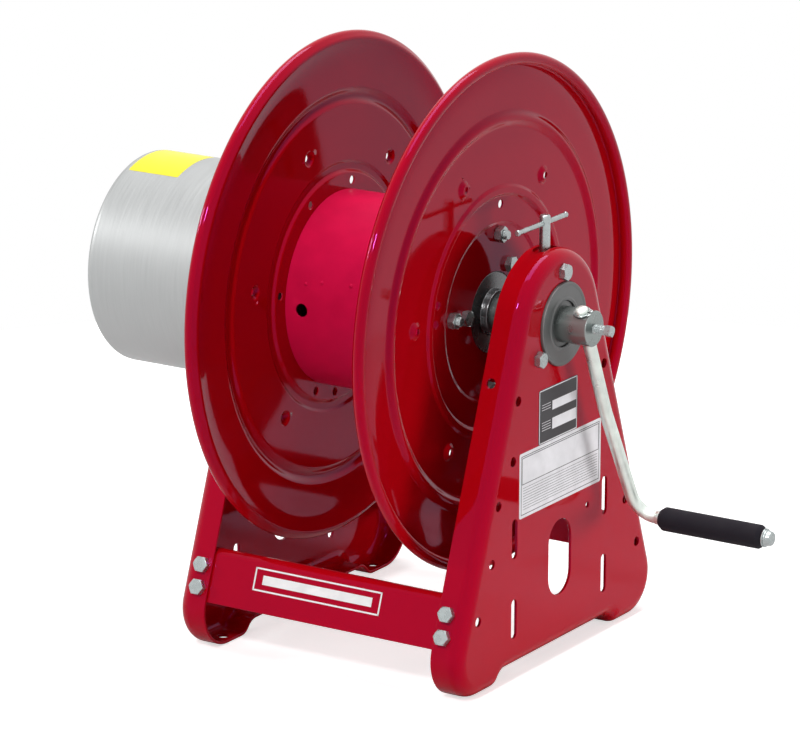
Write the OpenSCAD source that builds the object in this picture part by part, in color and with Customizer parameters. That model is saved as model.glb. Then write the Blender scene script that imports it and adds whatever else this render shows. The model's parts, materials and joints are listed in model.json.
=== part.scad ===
// Hand-crank reel: two pressed side plates carry a hollow shaft with two stamped discs and
// a drum, a crank with a turning grip, a screw brake and a round slip-ring housing.
// X runs along the shaft towards the crank, -Y is the front, Z is up.
// The origin is the centre of the four foot bolt holes, in the plane the feet stand on.

/* [Reel] */
// Outer diameter of the discs
disc_d = 500; // [440:1:520]
// Sheet thickness of the discs
disc_t = 2; // [1.5:0.1:2.5]
// Radius of the rolled bead at the rim
rim_bead_r = 5.75; // [4.5:0.05:7]
// Distance from the outer face of the web to the middle of the rolled bead
rim_offset = 2.9; // [1:0.1:4]
// Radius of the middle of the stiffening rib
rib_r = 187; // [170:1:200]
// Width of the stiffening rib
rib_w = 18; // [12:1:24]
// Height of the stiffening rib
rib_h = 4; // [2:0.1:6]
// Radius of the middle of the inner ring
ring_r = 118; // [114:1:124]
// Width of the inner ring
ring_w = 12; // [8:1:14]
// Height of the inner ring
ring_h = 1.8; // [1:0.1:3]
// How far the middle of the disc lies inside its web
seat_drop = 2; // [1:0.1:3]
// How far the hub seat lies inside the drum seat
hub_drop = 1.5; // [1:0.1:3]
// How far the middle of the reel lies off the middle of the frame, towards the housing
reel_shift = 4.7; // [0:0.1:8]
// Clear length of the drum between the discs
drum_l = 173.4; // [120:0.2:190]
// Outer diameter of the drum
drum_d = 192; // [180:1:200]
// Wall of the drum
drum_wall = 2; // [1.5:0.1:3]
// Diameter of the outlet hole in the drum
outlet_d = 13; // [8:0.5:20]
// Distance of the outlet hole from the middle of the drum
outlet_x = 68; // [40:1:75]
// Number of flared holes in each disc
flare_count = 6; // [4:1:8]
// Radius of the circle of flared holes
flare_r = 145; // [136:1:152]
// Bore of the flared holes
flare_bore = 7; // [5:0.5:9]
// Foot diameter of the flared holes
flare_d = 17; // [14:0.5:20]
// Height of the flared holes
flare_h = 3; // [2:0.1:4]
// Diameter of the plain holes beside the drum
side_hole_d = 8; // [5:0.5:9]
// Radius of the circle of plain holes
side_hole_r = 104.5; // [102:0.5:106]
// Number of tie rods through the drum
tie_count = 4; // [3:1:6]
// Radius of the circle of tie rods
tie_r = 75.6; // [70:0.1:77]
// Diameter of the tie rods
tie_d = 9.5; // [8:0.1:10]

/* [Shaft and bearings] */
// Height of the shaft over the floor
shaft_z = 332; // [315:0.5:350]
// Diameter of the shaft
shaft_d = 34.9; // [32:0.1:36]
// Bore of the shaft for the lead
shaft_bore = 16; // [10:0.5:20]
// How far the shaft stands out of the side plate on the crank side
shaft_out = 34.8; // [33:0.1:45]
// Outer diameter of the inner bearing race
race_in_d = 44; // [42:0.1:44.4]
// Diameter of the bearing balls
ball_d = 7; // [6:0.1:7.4]
// Number of balls in a bearing
ball_count = 14; // [9:1:16]
// Width of the bearing races
race_w = 10; // [9:0.1:12]
// Outer diameter of the outer bearing race
race_out_d = 66; // [62:0.5:70]
// Sheet thickness of the bearing shells
shell_t = 2; // [1.5:0.1:2.5]
// Diameter of the raised middle of the bearing shell
shell_d = 81; // [78:0.5:84]
// Diameter of the opening in the bearing shell round the shaft
shell_hole_d = 45; // [45:0.1:46]
// Distance from the raised middle of the bearing to its bolts
bearing_bolt_out = 10; // [8.5:0.1:12]
// Width of the bearing flange outside its bolts
bearing_edge = 8; // [6:0.1:9]
// Number of bolts in each bearing
bearing_bolts = 3; // [3:1:4]
// Diameter of the hub flanges
hub_flange_d = 116; // [110:1:120]
// Thickness of the hub flanges
hub_flange_t = 4; // [3:0.1:6]
// Diameter of the step that fills the hole in the disc
hub_spigot_d = 78; // [70:1:82]
// Outer diameter of the hub collar
hub_collar_d = 46; // [42:0.5:50]
// How far the hub collar stands out of its flange
hub_collar_l = 10; // [6:0.1:14]
// Diameter of the bolt circle of the hubs
hub_pcd = 101; // [96:0.5:104]
// Number of bolts in each hub
hub_bolt_count = 3; // [3:1:4]

/* [Side plates] */
// Distance between the outer faces of the side plates
plate_span = 320.8; // [314:0.1:340]
// Sheet thickness of the side plates
plate_t = 3; // [2:0.1:4]
// Depth of the flange round each side plate
plate_flange = 32; // [30:0.5:34]
// Outer bend radius between face and flange
plate_bend = 14; // [8:0.5:14.5]
// Radius of the round top
plate_top_r = 75.9; // [73:0.1:80]
// How far the middle of the round top lies below the shaft
plate_top_drop = 4.4; // [0:0.1:6]
// Lean of the straight sides
plate_lean = 19.9; // [18:0.1:21]
// Radius of the outer foot corners
foot_corner_r = 40; // [30:0.5:42]
// Half width between the feet at the start of the foot
foot_inner_y = 118; // [105:0.5:125]
// Height of the raised edge between the feet
foot_rise = 12; // [8:0.5:16]
// Radius of the curves between the feet and the raised edge
foot_curve_r = 16; // [15:0.5:20]
// Width of the narrow slots
slot_w = 9.5; // [6:0.5:12]
// Length of the narrow slots
slot_l = 39; // [30:1:44]
// Distance of the narrow slots from the middle
slot_y = 83.9; // [70:0.1:88]
// Height of the middle of the upper slots
slot_upper_z = 140.5; // [137:0.5:150]
// Height of the middle of the lower slots
slot_lower_z = 61; // [55:0.1:70]
// Width of the centre slot
window_w = 41.7; // [30:0.1:50]
// Length of the centre slot
window_l = 76; // [60:1:90]
// Height of the middle of the centre slot
window_z = 100.6; // [90:0.5:110]
// Diameter of the spare holes
spare_hole_d = 9.5; // [6:0.5:11]
// Diameter of the small spare hole
small_hole_d = 6; // [4:0.5:8]
// Diameter of the holes for the foot bolts
foot_hole_d = 11; // [9:0.5:12]
// Distance of the foot bolt holes from the outer faces of the plates
foot_hole_in = 21; // [20:0.5:23]
// Distance of the foot bolt holes from the middle plane
foot_hole_y = 134; // [130:0.5:136]

/* [Stretchers] */
// Height of the stretchers
stretcher_h = 54; // [48:0.5:58]
// Width of the leg along the top of the stretchers
stretcher_depth = 18; // [15:0.5:24]
// Sheet thickness of the stretchers
stretcher_t = 2.5; // [2:0.1:3]
// Outer bend radius of the stretchers
stretcher_bend = 12; // [8:0.5:12.3]
// Distance of the stretcher's middle below the round top's middle, along the leaning flange
stretcher_s = 293.1; // [285:0.1:298]
// The same distance of the middle between the corner bolts
corner_bolt_s = 296.2; // [290:0.1:300]
// Distance between the two bolts in a corner
corner_bolt_pitch = 22; // [19:0.5:26]
// Distance of the corner bolts from the outer faces of the plates
corner_bolt_in = 21.5; // [21.2:0.1:25]

/* [Fasteners] */
// Diameter of the large bolts
bolt_d = 9.5; // [8:0.1:10]
// Width across flats of the large heads and nuts
bolt_af = 14.3; // [13:0.1:15]
// Height of the large heads
bolt_head_h = 6.2; // [5:0.1:7]
// Height of the large nuts
bolt_nut_h = 8; // [6:0.1:8.4]
// Height of the thin nuts in the bearings
thin_nut_h = 6; // [5:0.1:6.4]
// Diameter of the small screws
screw_d = 4.8; // [4:0.1:6]
// Head diameter of the small screws
screw_head_d = 9; // [8:0.1:10]
// Head height of the small screws
screw_head_h = 3; // [2:0.1:3.5]

/* [Crank] */
// Diameter of the crank rod
rod_d = 12.7; // [11:0.1:13]
// Radius of the handle's circle
crank_r = 224.1; // [210:0.1:240]
// Lean of the crank from straight down, at rest
crank_lean = 23.3; // [0:0.1:45]
// Distance of the rod from the end of the shaft
rod_in = 9.9; // [9:0.1:14]
// Straight length of the rod from the shaft to its first bend
rod_straight = 95; // [80:1:110]
// Angle of the first bend
rod_kink = 4.2; // [2:0.1:6]
// Radius of the first bend
rod_kink_r = 120; // [60:1:160]
// Radius of the bend to the handle
rod_bend_r = 24; // [18:0.5:30]
// How far the rod stands out of the shaft at its upper end
rod_top = 5; // [4:0.1:8]
// Gap between the bend and the grip
grip_gap = 4.5; // [2:0.1:10]
// Length of the grip
grip_l = 112.9; // [100:0.5:130]
// Diameter of the grip
grip_d = 23.4; // [20:0.1:28]
// Chamfer at the ends of the grip
grip_chamfer = 4.5; // [2:0.1:5]
// Diameter of the washer at the end of the grip
grip_washer_d = 18.5; // [17:0.1:20]
// Thickness of the washer at the end of the grip
grip_washer_t = 1.6; // [1:0.1:2]
// Length of the cap at the end of the rod
grip_cap_l = 7; // [5:0.1:9]
// Thread diameter of the set screw
set_screw_d = 9.5; // [8:0.1:10]
// Length of the set screw outside the shaft, without its head
set_screw_out = 12.4; // [8:0.1:16]
// Width across flats of the square head
set_head_af = 9.5; // [8:0.1:11]
// Length of the square head
set_head_l = 7; // [5:0.1:9]

/* [Brake] */
// Distance of the brake screw from the outer face of the plate
brake_in = 20.9; // [19:0.1:22]
// Diameter of the brake screw
brake_d = 10.4; // [9:0.1:11]
// Height of the top of the brake screw over the shaft
brake_top = 103.5; // [98:0.5:115]
// Travel of the brake shoe
brake_travel = 1.5; // [1:0.1:3]
// Length of the brake shoe along the shaft
shoe_l = 12; // [8:0.5:13]
// Width of the brake shoe
shoe_w = 26; // [20:0.5:30]
// Height of the brake shoe over the top of the shaft
shoe_h = 12; // [10:0.5:16]
// Width of the threaded block along the shaft
block_l = 22; // [18:0.5:23]
// Width of the threaded block across the shaft
block_w = 26; // [20:0.5:32]
// Height of the threaded block
block_h = 9; // [7:0.1:9]
// Length of the slot in the top of the plate
brake_slot_l = 32; // [26:0.5:40]
// Width of the slot in the top of the plate
brake_slot_w = 14; // [12:0.5:17]
// Diameter of the tommy bar
bar_d = 5; // [4:0.1:6]
// Length of the tommy bar
bar_l = 90; // [70:1:94]
// How far the tommy bar is pushed to the front at rest
bar_shift = 6; // [0:0.5:8]
// Distance of the tommy bar below the top of the screw
bar_drop = 8; // [7:0.1:10]

/* [Housing] */
// Outer diameter of the housing
housing_d = 211.4; // [205:0.1:220]
// Length of the housing from the side plate
housing_l = 160.6; // [130:0.1:170]
// Sheet thickness of the housing
housing_t = 1.6; // [1.2:0.1:2.5]
// Radius of the outer corner of the housing
housing_corner = 8; // [4:0.5:14]
// Sheet thickness of the housing's back
back_t = 2.5; // [2:0.1:3]
// Depth of the rim of the housing's back
back_rim = 14; // [11:0.5:18]
// Number of screws in the housing
cover_screws_n = 4; // [3:1:6]
// Number of slip rings
ring_count = 3; // [2:1:4]
// Diameter of the slip rings
slip_d = 70; // [66:1:76]
// Width of a slip ring
slip_w = 8; // [6:0.5:9]
// Distance between slip rings
slip_pitch = 17; // [15:0.5:20]
// Distance of the ring core from the side plate
core_gap = 14; // [10:0.5:20]
// Diameter of the cable gland
gland_d = 26; // [22:0.5:32]
// Bore of the cable gland
gland_bore = 12; // [8:0.5:14]
// Distance of the gland from the side plate
gland_in = 34; // [30:0.5:40]

/* [Hidden] */
$fn = 72;
round_fn = 32;
// Radial clearance of a bolt or pin in its hole
hole_clear = 0.4;
// Radial clearance of threads and seats
seat_clear = 0.05;
// Radial clearance of a turning fit
turn_clear = 0.1;
// Clearance under the sheet's round top and bends
sheet_clear = 0.2;
// Clearance between curved faces that meet
shoe_clear = 0.3;
// Clearance at the end of the grip
end_clear = 0.3;
// How far a cutting tool runs past the face that it cuts
cut = 1;
top_steps = 12;
corner_steps = 9;
curve_steps = 4;
bend_steps = 5;
rib_steps = 8;

// Side plates
plate_x = plate_span / 2;
plate_in_x = plate_x - plate_t;
plate_in_r = plate_top_r - plate_t;
plate_top_z = shaft_z - plate_top_drop;
corner_y = (plate_top_r - foot_corner_r + (plate_top_z - foot_corner_r) * sin(plate_lean))
    / cos(plate_lean);
curve_a = acos(1 - foot_rise / (2 * foot_curve_r));
rise_y = foot_inner_y - 2 * foot_curve_r * sin(curve_a);
// Spare holes in the face, as [distance from the middle, height], on both sides
spare_holes = [[79.4, 274.4], [87.7, 217.3], [113.5, 180], [124.3, 126], [148.4, 76.2]];
// Small hole on one side of the centre slot
small_hole = [51.3, 139.3];
// Spare hole in the flange, as [x, distance along the flange]
upper_hole = [plate_x - 21.9, 65.5];
corner_bolt_x = plate_x - corner_bolt_in;
corner_bolt_ts = [corner_bolt_s - corner_bolt_pitch / 2, corner_bolt_s + corner_bolt_pitch / 2];
stretcher_l = 2 * (plate_x - plate_bend - 0.7);

// Reel
seat_x = drum_l / 2;
web_in_x = seat_x + seat_drop;
hub_x = seat_x - hub_drop;
rim_x = web_in_x + disc_t + rim_offset;
rim_r = disc_d / 2 - rim_bead_r;
drum_in_r = drum_d / 2 - drum_wall;
seat_slope = 9;
ring_edge = 3;
flare_phase_crank = 144.5;
flare_phase_housing = 140;
tie_phase = 173.5;
hub_phase = 144.3;
side_holes_crank = [174, 254, 264];
side_holes_housing = [168, 209, 263, 336, 355];
tie_end_x = hub_x + disc_t + bolt_nut_h + 3;

// Shaft and bearings
shaft_r = shaft_d / 2;
bearing_pcd = shell_d + 2 * bearing_bolt_out;
bearing_flange_d = bearing_pcd + 2 * bearing_edge;
race_x = plate_x - race_w / 2;
shell_in_x = plate_x - race_w - shell_t;
shell_bead = 0.8;
ball_bite = 1.1;
ball_r = race_in_d / 2 - ball_bite + ball_d / 2;
race_edge_r = ball_r + ball_d / 2 - ball_bite;

// Crank
rod_x = plate_x + shaft_out - rod_in;
rod_second_l = (crank_r - rod_straight - rod_kink_r * sin(rod_kink)
    - rod_bend_r * (1 - sin(rod_kink))) / cos(rod_kink);
rod_bend_end_x = rod_x + rod_kink_r * (1 - cos(rod_kink))
    + rod_second_l * sin(rod_kink) + rod_bend_r * cos(rod_kink);
rod_dome = 1.5;
rod_swage_h = 0.6;
rod_swage_back = 0.6;
rod_in_cap = 2.5;
grip_x = rod_bend_end_x + grip_gap;
rod_end_l = grip_gap + grip_l + end_clear + grip_washer_t + rod_in_cap - seat_clear;
retainer_t = 1.2;
retainer_in_d = rod_d - 1.6;
retainer_w = 3;
set_head_turn = 15;

// Brake
brake_x = plate_x - brake_in;
block_z = max(plate_top_z + plate_in_r - block_h,
    shaft_z + bearing_pcd / 2 + bolt_af / sqrt(3) + sheet_clear);
brake_top_z = shaft_z + brake_top;
bar_z = brake_top_z - bar_drop;
brake_dome = 1.2;
brake_tip_d = 7;
brake_tip_l = 5;
shoe_top_z = shaft_z + shaft_r + brake_travel + shoe_h;
shoulder_z = shoe_top_z + turn_clear;
bar_end_d = bar_d + 1.2;
bar_end_l = 3;

// Housing
cover_in_r = housing_d / 2 - housing_t;
core_x = plate_x + core_gap;
core_edge = 4;
core_l = ring_count * slip_pitch + 2 * core_edge;
shaft_end_x = core_x + core_l + 6;
brush_l = 13;
brush_w = 12;
brush_t = 6;
spring_t = 0.8;
spring_run = 24;
holder_t = 10;
holder_w = 14;
holder_over = 3;
post_d = 6;
holder_x = slip_d / 2 + brush_l;
post_x = holder_x - holder_t / 2;
post_y = brush_w / 2 + spring_run - holder_w / 2;
terminal_w = 22;
terminal_r = cover_in_r - back_t - terminal_w - 17;
terminal_l = 54;
terminal_h = 20;
terminal_turn = 180 + 180 / bearing_bolts;
gland_thread_d = 20;
gland_thread_l = 10;
gland_seat = 3;
gland_hex_l = 7;
gland_dome_l = 9;
gland_nut_h = 5;
gland_nut_back = 2;

// ---- Shared shapes ------------------------------------------------------------------

// Points of an arc about c, from angle a0 to a1 in n steps
function arc(c, r, a0, a1, n) =
    [for (i = [0:n]) let (a = a0 + (a1 - a0) * i / n) [c[0] + r * cos(a), c[1] + r * sin(a)]];

// Outline of a slot with round ends, its long side along the second axis
function slot_points(w, l) = concat(
    arc([0, l / 2 - w / 2], w / 2, 0, 180, 12),
    arc([0, w / 2 - l / 2], w / 2, 180, 360, 12));

// Turns a shape built along +Z to lie along the shaft, with its base at x
module on_shaft(x) translate([x, 0, shaft_z]) rotate([0, 90, 0]) children();

// Copies a child round the shaft's axis, starting at angle a0 from the front-to-back line
module round_shaft(n, a0) for (i = [0:n - 1]) rotate([0, 0, a0 + 360 * i / n]) children();

module hex_bolt(l) {
    translate([0, 0, -bolt_head_h])
        cylinder(r = bolt_af / sqrt(3), h = bolt_head_h, $fn = 6);
    cylinder(d = bolt_d, h = l);
}

module hex_nut(d, h) difference() {
    cylinder(r = bolt_af / sqrt(3), h = h, $fn = 6);
    translate([0, 0, -cut]) cylinder(d = d + 2 * seat_clear, h = h + 2 * cut);
}

// ---- Side plates --------------------------------------------------------------------

// An arc of the plate's edge, as [y, z, outward y, outward z]; side is -1 where it is hollow
function edge_arc(c, r, a0, a1, steps, first, side) = [for (i = [first:steps])
    let (a = a0 + (a1 - a0) * i / steps)
    [c[0] + r * cos(a), c[1] + r * sin(a), side * cos(a), side * sin(a)]];

// Half of the edge, from the top over the foot to the raised edge between the feet. The
// straight sides are tangents of the round top, and the foot curves are two equal arcs.
half_edge = concat(
    edge_arc([0, plate_top_z], plate_top_r, 90, plate_lean, top_steps, 0, 1),
    edge_arc([corner_y, foot_corner_r], foot_corner_r, plate_lean, -90, corner_steps, 0, 1),
    edge_arc([foot_inner_y, foot_curve_r], foot_curve_r, -90, -90 - curve_a, curve_steps, 0, 1),
    edge_arc([rise_y, foot_rise - foot_curve_r], foot_curve_r, 90 - curve_a, 90, curve_steps,
        1, -1));
half_n = len(half_edge);

// The whole edge, clockwise seen from the crank: point i on one side is point edge_n - i on
// the other, and both sides share the point at the top
whole_edge = concat(half_edge,
    [for (i = [half_n - 1:-1:1]) let (p = half_edge[i]) [-p[0], p[1], -p[2], p[3]]]);
edge_n = len(whole_edge);

// Section of the sheet, from the flat face round the bend to the flange's end and back,
// as [distance in from the edge, depth behind the face]
sheet_section = concat(
    [for (k = [0:bend_steps]) let (a = 90 * k / bend_steps)
        [plate_bend * (1 - sin(a)), plate_bend * (1 - cos(a))]],
    [[0, plate_flange], [plate_t, plate_flange]],
    [for (k = [bend_steps:-1:0]) let (a = 90 * k / bend_steps)
        [plate_bend - (plate_bend - plate_t) * sin(a),
         plate_bend - (plate_bend - plate_t) * cos(a)]]);
section_n = len(sheet_section);

// Sweeps the section round the edge. Each flat face is closed by three fans of triangles:
// one over the body and one over each foot, where the edge is hollow.
module pressed_sheet() {
    points = [for (s = sheet_section) for (p = whole_edge)
        [plate_x - s[1], p[0] - p[2] * s[0], p[1] - p[3] * s[0]]];
    walls = [for (j = [0:section_n - 2]) for (i = [0:edge_n - 1])
        let (a = j * edge_n + i, b = j * edge_n + (i + 1) % edge_n)
        each [[a, b + edge_n, b], [a, a + edge_n, b + edge_n]]];
    hip = top_steps + 1;
    rise = half_n - 1;
    body = concat([edge_n - rise], [for (i = [edge_n - hip:edge_n - 1]) i],
        [for (i = [0:hip]) i], [rise]);
    foot = [for (i = [hip:rise]) i];
    other_foot = concat([edge_n - hip], [for (i = [edge_n - rise:edge_n - hip - 1]) i]);
    last = (section_n - 1) * edge_n;
    front = [for (f = [body, foot, other_foot]) for (i = [1:len(f) - 2])
        [f[0], f[i], f[i + 1]]];
    back = [for (t = front) [last + t[0], last + t[2], last + t[1]]];
    polyhedron(points = points, faces = concat(front, walls, back));
}

// Places a shape on the outside of the front flange, t along it from its top, with +Z
// pointing into the frame and +Y down along the flange
module on_flange(x, t) translate([x, 0, plate_top_z]) rotate([-90 - plate_lean, 0, 0])
    translate([0, t, -plate_top_r]) children();

// The same on the front and the rear flange
module on_both_flanges(x, t) for (s = [0, 1]) mirror([0, s, 0]) on_flange(x, t) children();

// A tool that cuts straight through the plate's face at a place in the plate
module face_tool(y, z) translate([plate_in_x - cut, y, z]) rotate([90, 0, 90]) children();

module face_hole(y, z, d) face_tool(y, z) cylinder(d = d, h = plate_t + 2 * cut);

module face_slot(y, z, w, l) face_tool(y, z)
    linear_extrude(plate_t + 2 * cut) polygon(slot_points(w, l));

module face_holes() {
    on_shaft(plate_in_x - cut) cylinder(d = shell_d + 2 * hole_clear, h = plate_t + 2 * cut);
    on_shaft(plate_in_x - cut) round_shaft(bearing_bolts, 180)
        translate([bearing_pcd / 2, 0, 0]) cylinder(d = bolt_d + 2 * hole_clear, h = plate_t + 2 * cut);
    for (s = [-1, 1]) {
        face_slot(s * slot_y, slot_upper_z, slot_w, slot_l);
        face_slot(s * slot_y, slot_lower_z, slot_w, slot_l);
        for (p = spare_holes) face_hole(s * p[0], p[1], spare_hole_d);
    }
    face_slot(0, window_z, window_w, window_l);
    face_hole(small_hole[0], small_hole[1], small_hole_d);
}

module flange_holes() {
    for (t = corner_bolt_ts) on_both_flanges(corner_bolt_x, t)
        translate([0, 0, -cut]) cylinder(d = bolt_d + 2 * hole_clear, h = plate_t + 2 * cut);
    on_both_flanges(upper_hole[0], upper_hole[1])
        translate([0, 0, -cut]) cylinder(d = spare_hole_d, h = plate_t + 2 * cut);
    for (s = [-1, 1]) translate([plate_x - foot_hole_in, s * foot_hole_y, -cut])
        cylinder(d = foot_hole_d, h = plate_t + 2 * cut);
}

module side_plate() difference() {
    pressed_sheet();
    face_holes();
    flange_holes();
}

module side_plate_crank() color("firebrick") difference() {
    side_plate();
    translate([brake_x, 0, plate_top_z + plate_in_r - cut])
        linear_extrude(plate_t + 2 * cut) polygon(slot_points(brake_slot_w, brake_slot_l));
}

module side_plate_housing() color("firebrick") mirror([1, 0, 0]) side_plate();

// ---- Stretchers and their bolts -----------------------------------------------------

// Section of an angle with its leg on top: x down along the flange, y into the frame
module stretcher_section() {
    h = stretcher_h / 2;
    b = stretcher_bend;
    polygon(concat(
        [[-h, stretcher_depth]], arc([b - h, b], b, 180, 270, 2 * bend_steps),
        [[h, 0], [h, stretcher_t]], arc([b - h, b], b - stretcher_t, 270, 180, 2 * bend_steps),
        [[stretcher_t - h, stretcher_depth]]));
}

module stretcher() on_flange(0, stretcher_s) difference() {
    translate([-stretcher_l / 2, 0, plate_t]) rotate([90, 0, 90])
        linear_extrude(stretcher_l) stretcher_section();
    for (x = [-corner_bolt_x, corner_bolt_x]) for (t = corner_bolt_ts)
        translate([x, t - stretcher_s, plate_t - cut])
            cylinder(d = bolt_d + 2 * hole_clear, h = stretcher_t + 2 * cut);
}

module stretcher_front() color("firebrick") stretcher();
module stretcher_rear() color("firebrick") mirror([0, 1, 0]) stretcher();

module at_corner_bolts() for (m = [0, 1]) mirror([m, 0, 0])
    for (t = corner_bolt_ts) on_both_flanges(corner_bolt_x, t) children();

module stretcher_bolts() color("silver") at_corner_bolts()
    hex_bolt(plate_t + stretcher_t + bolt_nut_h + 1.5);
module stretcher_nuts() color("silver") at_corner_bolts()
    translate([0, 0, plate_t + stretcher_t]) hex_nut(bolt_d, bolt_nut_h);

// ---- Bearings -----------------------------------------------------------------------

// Profiles are [radius, distance along the shaft]
module bearing_shell_outer() on_shaft(0) difference() {
    rotate_extrude() polygon([
        [shell_d / 2 - shell_t, plate_in_x - shell_t],
        [bearing_flange_d / 2, plate_in_x - shell_t],
        [bearing_flange_d / 2, plate_in_x],
        [shell_d / 2, plate_in_x],
        [shell_d / 2, plate_x + shell_t + shell_bead],
        [shell_d / 2 - shell_t, plate_x + shell_t + shell_bead],
        [shell_d / 2 - 2 * shell_t, plate_x + shell_t],
        [shell_hole_d / 2 + 2 * shell_t, plate_x + shell_t],
        [shell_hole_d / 2 + shell_t, plate_x + shell_t + shell_bead],
        [shell_hole_d / 2, plate_x + shell_t],
        [shell_hole_d / 2, plate_x],
        [shell_d / 2 - shell_t, plate_x]]);
    bearing_bolt_holes(plate_in_x - shell_t);
}

module bearing_shell_inner() on_shaft(0) difference() {
    rotate_extrude() polygon([
        [race_out_d / 2 + shell_t, plate_in_x - 2 * shell_t],
        [bearing_flange_d / 2, plate_in_x - 2 * shell_t],
        [bearing_flange_d / 2, plate_in_x - shell_t],
        [race_out_d / 2, plate_in_x - shell_t],
        [race_out_d / 2, shell_in_x + shell_t],
        [shell_hole_d / 2, shell_in_x + shell_t],
        [shell_hole_d / 2, shell_in_x],
        [race_out_d / 2 + shell_t, shell_in_x]]);
    bearing_bolt_holes(plate_in_x - 2 * shell_t);
}

module bearing_bolt_holes(x) round_shaft(bearing_bolts, 180)
    translate([bearing_pcd / 2, 0, x - cut])
        cylinder(d = bolt_d + 2 * hole_clear, h = shell_t + 2 * cut);

module race_groove() translate([ball_r, race_x]) circle(d = ball_d + 2 * turn_clear);

module bearing_race() on_shaft(0) rotate_extrude() difference() {
    translate([race_edge_r, plate_x - race_w])
        square([race_out_d / 2 - seat_clear - race_edge_r, race_w]);
    race_groove();
}

module inner_race() on_shaft(0) rotate_extrude() difference() {
    translate([shaft_r, plate_x - race_w]) square([race_in_d / 2 - shaft_r, race_w]);
    race_groove();
}

module bearing_balls() on_shaft(race_x) round_shaft(ball_count, 0)
    translate([ball_r, 0, 0]) sphere(d = ball_d);

module at_bearing_bolts(x) on_shaft(x) round_shaft(bearing_bolts, 180)
    translate([bearing_pcd / 2, 0, 0]) children();

// under is the thickness of what lies between the plate and the bolt's head
module bearing_bolt_set(under) at_bearing_bolts(plate_x + under) rotate([180, 0, 0])
    hex_bolt(under + plate_t + 2 * shell_t + thin_nut_h + 1);

module bearing_nut_set() at_bearing_bolts(plate_in_x - 2 * shell_t) rotate([180, 0, 0])
    hex_nut(bolt_d, thin_nut_h);

module housing_side() mirror([1, 0, 0]) children();

module bearing_shell_outer_crank() color("gray") bearing_shell_outer();
module bearing_shell_inner_crank() color("gray") bearing_shell_inner();
module bearing_race_crank() color("dimgray") bearing_race();
module bearing_balls_crank() color("silver") bearing_balls();
module bearing_bolts_crank() color("silver") bearing_bolt_set(0);
module bearing_nuts_crank() color("silver") bearing_nut_set();
module bearing_shell_outer_housing() color("gray") housing_side() bearing_shell_outer();
module bearing_shell_inner_housing() color("gray") housing_side() bearing_shell_inner();
module bearing_race_housing() color("dimgray") housing_side() bearing_race();
module bearing_balls_housing() color("silver") housing_side() bearing_balls();
module bearing_bolts_housing() color("silver") housing_side() bearing_bolt_set(back_t);
module bearing_nuts_housing() color("silver") housing_side() bearing_nut_set();
module inner_race_crank() color("dimgray") inner_race();
module inner_race_housing() color("dimgray") housing_side() inner_race();

// ---- Brake --------------------------------------------------------------------------

// The block fills the space under the sheet's top, up to the bend towards the face
module brake_block() color("firebrick") difference() {
    intersection() {
        translate([brake_x - block_l / 2, -block_w / 2, block_z]) cube([block_l, block_w, block_h]);
        translate([0, 0, plate_top_z]) rotate([0, 90, 0]) rotate_extrude() polygon(concat(
            [[0, 0], [plate_in_r - sheet_clear, 0]],
            arc([plate_top_r - plate_bend, plate_x - plate_bend],
                plate_bend - plate_t - sheet_clear, 0, 90, 2 * bend_steps),
            [[0, plate_in_x - sheet_clear]]));
    }
    translate([brake_x, 0, shaft_z]) cylinder(d = brake_d + 2 * turn_clear, h = plate_top_r);
}

module brake_screw() color("silver") difference() {
    translate([brake_x, 0, 0]) {
        translate([0, 0, shoulder_z]) cylinder(d = brake_d, h = brake_top_z - shoulder_z - brake_dome);
        translate([0, 0, brake_top_z - brake_dome])
            cylinder(d1 = brake_d, d2 = brake_d - 2 * brake_dome, h = brake_dome);
        translate([0, 0, shoe_top_z - brake_tip_l])
            cylinder(d = brake_tip_d, h = brake_tip_l + turn_clear);
    }
    translate([brake_x, -brake_d, bar_z]) rotate([-90, 0, 0])
        cylinder(d = bar_d + 2 * turn_clear, h = 2 * brake_d);
}

module tommy_bar() color("silver") translate([brake_x, -bar_shift - bar_l / 2, bar_z])
    rotate([-90, 0, 0]) {
        cylinder(d = bar_d, h = bar_l);
        for (z = [0, bar_l - bar_end_l]) translate([0, 0, z]) cylinder(d = bar_end_d, h = bar_end_l);
    }

// The shoe stands its travel above the shaft, and its hollow face is an arc about the shaft
module brake_shoe() color("peru") difference() {
    translate([brake_x - shoe_l / 2, -shoe_w / 2, shaft_z + shaft_r * 0.55 + brake_travel])
        cube([shoe_l, shoe_w, shoe_top_z - shaft_z - shaft_r * 0.55 - brake_travel]);
    translate([0, 0, brake_travel]) on_shaft(brake_x - shoe_l)
        cylinder(r = shaft_r + turn_clear, h = 2 * shoe_l);
    translate([brake_x, 0, shoe_top_z - brake_tip_l - shoe_clear])
        cylinder(d = brake_tip_d + 2 * turn_clear, h = brake_tip_l + cut);
}

// ---- Reel ---------------------------------------------------------------------------

// Moves a shape from the middle of the reel to its place in the frame
module reel_place() translate([-reel_shift, 0, 0]) children();

// Inner face of the disc: hub seat, drum seat, raised ring and web, rib, up to the rim
disc_inside = concat(
    [[hub_spigot_d / 2 + hole_clear, hub_x],
     [drum_in_r - hole_clear - seat_slope, hub_x], [drum_in_r - hole_clear, seat_x],
     [ring_r - ring_w / 2, seat_x], [ring_r - ring_w / 2 + ring_edge, web_in_x + ring_h],
     [ring_r + ring_w / 2 - ring_edge, web_in_x + ring_h], [ring_r + ring_w / 2, web_in_x]],
    [for (k = [0:rib_steps]) let (u = 2 * k / rib_steps - 1)
        [rib_r + u * rib_w / 2, web_in_x + rib_h * (1 + cos(180 * u)) / 2]],
    [[rim_r - rim_bead_r * 0.55, web_in_x]]);

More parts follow.
